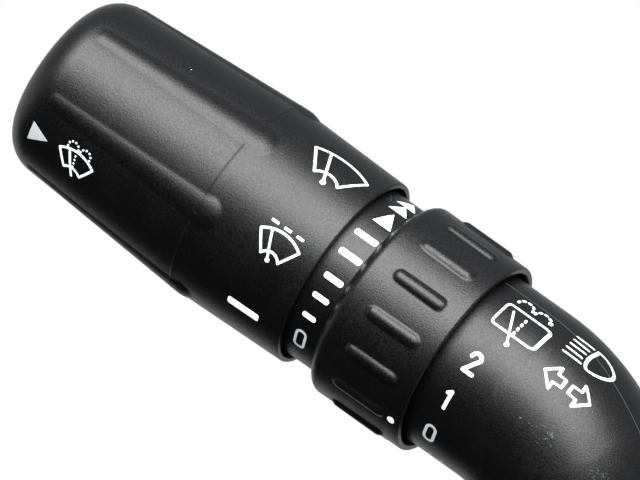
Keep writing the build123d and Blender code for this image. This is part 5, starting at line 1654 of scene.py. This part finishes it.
@dataclass
class HousingFittings:
    """What is repeated on the switch module: cover screws, cover ribs, snap tongues and socket ribs."""

    tree: bpy.types.GeometryNodeTree
    head_radius: float = 2.6
    head_height: float = 1.5
    head_round: float = 0.7
    shank_radius: float = 1.25
    shank_length: float = 10.0
    recess_half_length: float = 1.35
    recess_half_width: float = 0.3
    recess_depth: float = 1.0
    boss_middle: tuple[float, float] = (6.0, 0.0)
    rib_size: tuple[float, float, float] = (9.4, 1.1, 0.8)
    rib_start: float = 7.8
    rib_count: int = 8
    tongue_width: float = 7.0
    tongue_length: float = 6.5
    tongue_thick: float = 1.1
    window: tuple[float, float] = (4.0, 2.4)
    tongues: tuple[tuple[float, float], ...] = ((-15.0, 1), (2.0, 1), (22.0, 1), (-15.0, -1), (2.0, -1))
    socket_rib_size: tuple[float, float, float] = (10.0, 1.2, 0.8)
    socket_rib_spread: float = 4.0
    socket_wall: float = 7.0

    def set_pieces(self, name: str, part: bpy.types.Object, places: Sequence[Sequence[float]], finish: Finish,
                   replaced: Sequence[str] = ()) -> None:
        """Set copies of a part and settle them as one piece.

        Args:
            name: Name of the piece.
            part: The part, which is removed afterwards.
            places: X, Y and Z in millimetres and turns about the three axes in radians, for each copy.
            finish: Finish of the copies.
            replaced: Nodes that the piece stands for.
        """
        rows = np.array(places, float)
        mesh = bpy.data.meshes.new(name)
        mesh.from_pydata((rows[:, :3] * MM).tolist(), [], [])
        mesh.attributes.new("turn", "FLOAT_VECTOR", "POINT").data.foreach_set("vector", rows[:, 3:].ravel())
        points = bpy.data.objects.new(name, mesh)
        bpy.context.scene.collection.objects.link(points)
        made = run_tree(points, self.tree, {"Part": part, "Material": finish.material()})
        bpy.data.objects.remove(part, do_unlink=True)
        settle(made, Body.ROOT, replaced)

    def screw(self) -> bpy.types.Object:
        """Turn one pan head screw along X and cut its cross recess.

        Returns:
            The screw, its head's underside at the origin.
        """
        corner = self.head_round
        rows = [(-self.head_height, 0.0), (-self.head_height, (self.head_radius - corner) / 2)]
        for angle in spread(0.0, math.pi / 2, math.radians(15)):
            rows.append((
                corner * (1 - math.cos(angle)) - self.head_height, self.head_radius - corner * (1 - math.sin(angle))
            ))
        rows += [(corner - self.head_height, self.head_radius), (0.0, self.head_radius), (0.0, self.shank_radius)]
        rows += [(self.shank_length, self.shank_radius), (self.shank_length, 0.0)]
        screw = TurnedShell("screw_blank", GripAxis(0.0, 0.0, 0.0), rows, [], columns=48).build()
        long, short = self.recess_half_length, self.recess_half_width
        cross = [(long, -short), (long, short), (short, short), (short, long), (-short, long), (-short, short)]
        cross += [(-y, -z) for y, z in cross]
        points = [(-self.head_height - 0.1, y, z) for y, z in cross]
        points += [(self.recess_depth - self.head_height, y * 0.6, z * 0.75) for y, z in cross]
        count = len(cross)
        sides = [(i, (i + 1) % count, count + (i + 1) % count, count + i) for i in range(count)]
        faces = [tuple(reversed(range(count))), tuple(range(count, 2 * count)), *sides]
        punch = new_mesh("screw_punch", np.array(points) * MM, faces)
        work = bmesh.new()
        work.from_mesh(punch.data)
        bmesh.ops.recalc_face_normals(work, faces=work.faces)
        work.to_mesh(punch.data)
        work.free()
        cut = screw.modifiers.new("recess", "BOOLEAN")
        cut.object = punch
        cut.operation = "DIFFERENCE"
        cut.solver = "EXACT"
        screw = finished_copy(screw, "screw")
        bpy.data.objects.remove(punch, do_unlink=True)
        screw.data.set_sharp_from_angle(angle=math.radians(35))
        return screw

    def bar(self, size: Sequence[float]) -> bpy.types.Object:
        """Make a rounded bar along X that stands proud towards -Y, its foot at the origin."""
        length, width, height = size
        work = bmesh.new()
        bmesh.ops.create_cube(work, size=1.0)
        bmesh.ops.scale(work, vec=Vector((length, height + 0.1, width)) * MM, verts=work.verts)
        bmesh.ops.translate(work, vec=Vector((0, (0.1 - height) / 2 * MM, 0)), verts=work.verts)
        bmesh.ops.bevel(work, geom=work.edges[:], offset=0.3 * MM, segments=3, profile=0.5, affect="EDGES")
        mesh = bpy.data.meshes.new("bar")
        work.to_mesh(mesh)
        work.free()
        mesh.shade_smooth()
        made = bpy.data.objects.new("bar", mesh)
        bpy.context.scene.collection.objects.link(made)
        return made

    def tongue(self) -> bpy.types.Object:
        """Make one snap tongue with its window and the catch that stands in it, lying on Z."""
        half, long, thick = self.tongue_width / 2, self.tongue_length, self.tongue_thick
        wide, tall = self.window[0] / 2, self.window[1]
        start = (long - tall) / 2 + 0.6
        outline = [(-half, 0.0), (half, 0.0), (half, long), (-half, long)]
        hole = [(-wide, start), (wide, start), (wide, start + tall), (-wide, start + tall)]
        points = [(x, y, z) for z in (-0.1, thick) for x, y in outline + hole]
        faces = []
        for side in range(4):
            after = (side + 1) % 4
            faces += [
                (8 + side, 8 + after, 12 + after, 12 + side), (side, 4 + side, 4 + after, after),
                (side, after, 8 + after, 8 + side), (4 + side, 12 + side, 12 + after, 4 + after),
            ]
        inset = 0.25
        foot = len(points)
        for x in (-wide + inset, wide - inset):
            points += [(x, start + inset, -0.1), (x, start + tall - inset, -0.1), (x, start + inset, 0.95)]
        faces += [(foot, foot + 2, foot + 1), (foot + 3, foot + 4, foot + 5)]
        faces += [(foot, foot + 1, foot + 4, foot + 3), (foot + 1, foot + 2, foot + 5, foot + 4)]
        faces += [(foot, foot + 3, foot + 5, foot + 2)]
        made = new_mesh("tongue", np.array(points) * MM, faces)
        work = bmesh.new()
        work.from_mesh(made.data)
        bmesh.ops.recalc_face_normals(work, faces=work.faces)
        bmesh.ops.bevel(work, geom=work.edges[:], offset=0.12 * MM, segments=2, profile=0.5, affect="EDGES")
        work.to_mesh(made.data)
        work.free()
        made.data.shade_smooth()
        made.data.set_sharp_from_angle(angle=math.radians(35))
        return made

    def build(self) -> None:
        """Set every fitting and settle it on the module."""
        low, high = (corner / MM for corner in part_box("cover_screws"))
        face = low.y + self.head_height
        spots = [(x, z) for x in (low.x + self.head_radius, high.x - self.head_radius)
                 for z in (low.z + self.head_radius, high.z - self.head_radius)]
        places = [(x, face, z, 0.3 + 0.9 * index, 0.0, math.pi / 2) for index, (x, z) in enumerate(spots)]
        self.set_pieces("cover_screw_set", self.screw(), places, ZINC_STEEL, ["cover_screws"])
        places = []
        for index in range(self.rib_count):
            turn = (index + 0.5) * TAU / self.rib_count
            reach = self.rib_start + self.rib_size[0] / 2
            x = self.boss_middle[0] + reach * math.cos(turn)
            z = self.boss_middle[1] + reach * math.sin(turn)
            places.append((x, face, z, 0.0, -turn, 0.0))
        self.set_pieces("cover_rib_star", self.bar(self.rib_size), places, HOUSING_PLASTIC)
        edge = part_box("housing_cover")[1].z / MM
        places = [(x, face + 0.3, side * edge, 0.0, 0.0 if side > 0 else math.pi, 0.0) for x, side in self.tongues]
        self.set_pieces("cover_snap_tongues", self.tongue(), places, HOUSING_PLASTIC)
        pins_low, pins_high = (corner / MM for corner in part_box("terminal_pins"))
        middle = (pins_low.x + pins_high.x) / 2
        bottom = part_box("housing_base")[0].z / MM
        front = -8.0 - self.socket_wall
        places = [
            (middle + side * self.socket_rib_spread, front, -26.5, 0.0, math.pi / 2, 0.0) for side in (-1, 1)
        ]
        self.set_pieces("socket_key_ribs", self.bar(self.socket_rib_size), places, HOUSING_PLASTIC)


# Studio


@dataclass(frozen=True)
class Studio:
    """The camera at the photograph's angle, a soft key light, a pale floor and a dark card."""

    axis: GripAxis
    back: tuple[float, float, float] = (0.2656, -0.8432, 0.4674)
    right: tuple[float, float, float] = (0.786, 0.470, 0.402)
    distance: float = 3.0
    lens: float = 1208.25
    aim_station: float = -5.65
    aim_rise: float = 1.88
    key_size: tuple[float, float] = (1.8, 1.0)
    key_distance: float = 1.1
    key_way: tuple[float, float, float] = (-0.09, -0.46, 0.883)
    key_power: float = 51.0
    sky_colour: str = "#a0a2a4"
    floor_drop: float = 0.4
    floor_size: float = 12.0
    card_radius: float = 0.35
    card_half_length: float = 0.5

    def aim(self) -> Vector:
        """Give the point that the camera looks at."""
        rise = Vector((0, 0.4848, 0.8746)) * self.aim_rise
        middle = Vector((self.axis.rim_x, self.axis.axis_y, self.axis.axis_z))
        return middle + Vector((self.aim_station * MM, 0, 0)) + rise * MM

    def camera(self) -> None:
        """Add the camera."""
        lens = bpy.data.cameras.new("camera")
        lens.lens = self.lens
        lens.sensor_width = 36.0
        lens.clip_start = 0.01
        camera = bpy.data.objects.new("camera", lens)
        back = Vector(self.back).normalized()
        side = Vector(self.right)
        side = (side - back * side.dot(back)).normalized()
        up = back.cross(side)
        camera.rotation_euler = Matrix((side, up, back)).transposed().to_euler()
        camera.location = self.aim() + back * self.distance
        bpy.context.scene.collection.objects.link(camera)
        bpy.context.scene.camera = camera

    def key(self) -> None:
        """Add the softbox above and in front of the grip."""
        lamp = bpy.data.lights.new("key", "AREA")
        lamp.shape = "RECTANGLE"
        lamp.size, lamp.size_y = self.key_size
        lamp.energy = self.key_power
        key = bpy.data.objects.new("key", lamp)
        way = Vector(self.key_way).normalized()
        key.location = self.aim() + way * self.key_distance
        side = (Vector((1, 0, 0)) - way * way.x).normalized()
        key.rotation_euler = Matrix((side, way.cross(side), way)).transposed().to_euler()
        bpy.context.scene.collection.objects.link(key)

    def world(self) -> None:
        """Light the scene with a plain grey sky that the camera sees as white."""
        world = bpy.data.worlds.new("studio")
        world.use_nodes = True
        bpy.context.scene.world = world
        tree = world.node_tree
        tree.nodes.clear()
        path = add_node(tree, "ShaderNodeLightPath")
        colour = add_node(
            tree, "ShaderNodeMix", path.outputs["Is Camera Ray"], data_type="RGBA",
            inputs={6: hex_linear(self.sky_colour), 7: hex_linear("#ffffff")},
        )
        sky = add_node(tree, "ShaderNodeBackground", colour.outputs[2], 1.0)
        add_node(tree, "ShaderNodeOutputWorld", sky)

    def floor(self) -> None:
        """Add the pale floor, white to the camera and in reflections."""
        half = self.floor_size / 2
        level = CAD_BOX[0][2] - self.floor_drop
        points = np.array([(-half, -half, level), (half, -half, level), (half, half, level), (-half, half, level)])
        floor = new_mesh("studio_floor", points, [(0, 1, 2, 3)])
        material = bpy.data.materials.new("studio_floor_paper")
        material.use_nodes = True
        tree = material.node_tree
        tree.nodes.clear()
        path = add_node(tree, "ShaderNodeLightPath")
        seen = add_node(
            tree, "ShaderNodeMath", path.outputs["Is Camera Ray"], path.outputs["Is Glossy Ray"], operation="MAXIMUM"
        )
        seen = add_node(tree, "ShaderNodeMath", seen, path.outputs["Is Transmission Ray"], operation="MAXIMUM")
        matt = add_node(tree, "ShaderNodeBsdfDiffuse", hex_linear("#f4f4f3"))
        sheen = add_node(tree, "ShaderNodeMapRange", path.outputs["Is Camera Ray"], inputs={"To Min": 0.75, "To Max": 1.0})
        white = add_node(tree, "ShaderNodeEmission", hex_linear("#ffffff"), sheen)
        mixed = add_node(tree, "ShaderNodeMixShader", seen, matt, white)
        add_node(tree, "ShaderNodeOutputMaterial", mixed)
        floor.data.materials.append(material)

    def card(self) -> None:
        """Add a curved black card in front of and below the grip that only reflections show."""
        centre = self.aim()
        turns = [math.radians(12 - 120 * index / 16) for index in range(17)]
        points = []
        for side in (-1, 1):
            for turn in turns:
                points.append((
                    centre.x + side * self.card_half_length,
                    centre.y - self.card_radius * math.cos(turn),
                    centre.z + self.card_radius * math.sin(turn),
                ))
        count = len(turns)
        faces = [(index, index + 1, count + index + 1, count + index) for index in range(count - 1)]
        card = new_mesh("studio_card", np.array(points), faces)
        material = bpy.data.materials.new("studio_card_black")
        material.use_nodes = True
        shader = material.node_tree.nodes["Principled BSDF"]
        shader.inputs["Base Color"].default_value = hex_linear("#050505")
        shader.inputs["Roughness"].default_value = 1.0
        card.data.materials.append(material)
        card.visible_camera = False
        card.visible_diffuse = False
        card.visible_shadow = False
        card.visible_transmission = False

    def build(self) -> None:
        """Build the whole studio."""
        bpy.context.scene.view_settings.view_transform = "Standard"
        self.world()
        self.floor()
        self.card()
        self.key()
        self.camera()


def main() -> None:
    """Build every piece in order, then the studio."""
    logging.basicConfig(level=logging.INFO, format="%(message)s")
    axis = GripAxis.from_frame()
    ribs = rib_tree()
    knob = WiperKnob(axis).build(ribs)
    ring = RearWiperRing(axis).build(ribs)
    stalk = clean_copy(["lever_shell_front", "lever_shell_rear"], "print_target")
    band = IndexBand(axis).build()
    for dressed in DRESSED_NODES:
        dressed.build()
    dress_frame_nodes()
    coils = coil_tree()
    for spring in COIL_SPRINGS:
        spring.build(coils)
    HousingFittings(place_tree()).build()
    Printing(axis).build(print_tree(), knob, band, ring, stalk)
    Studio(axis).build()


if __name__ == "__main__":
    main()
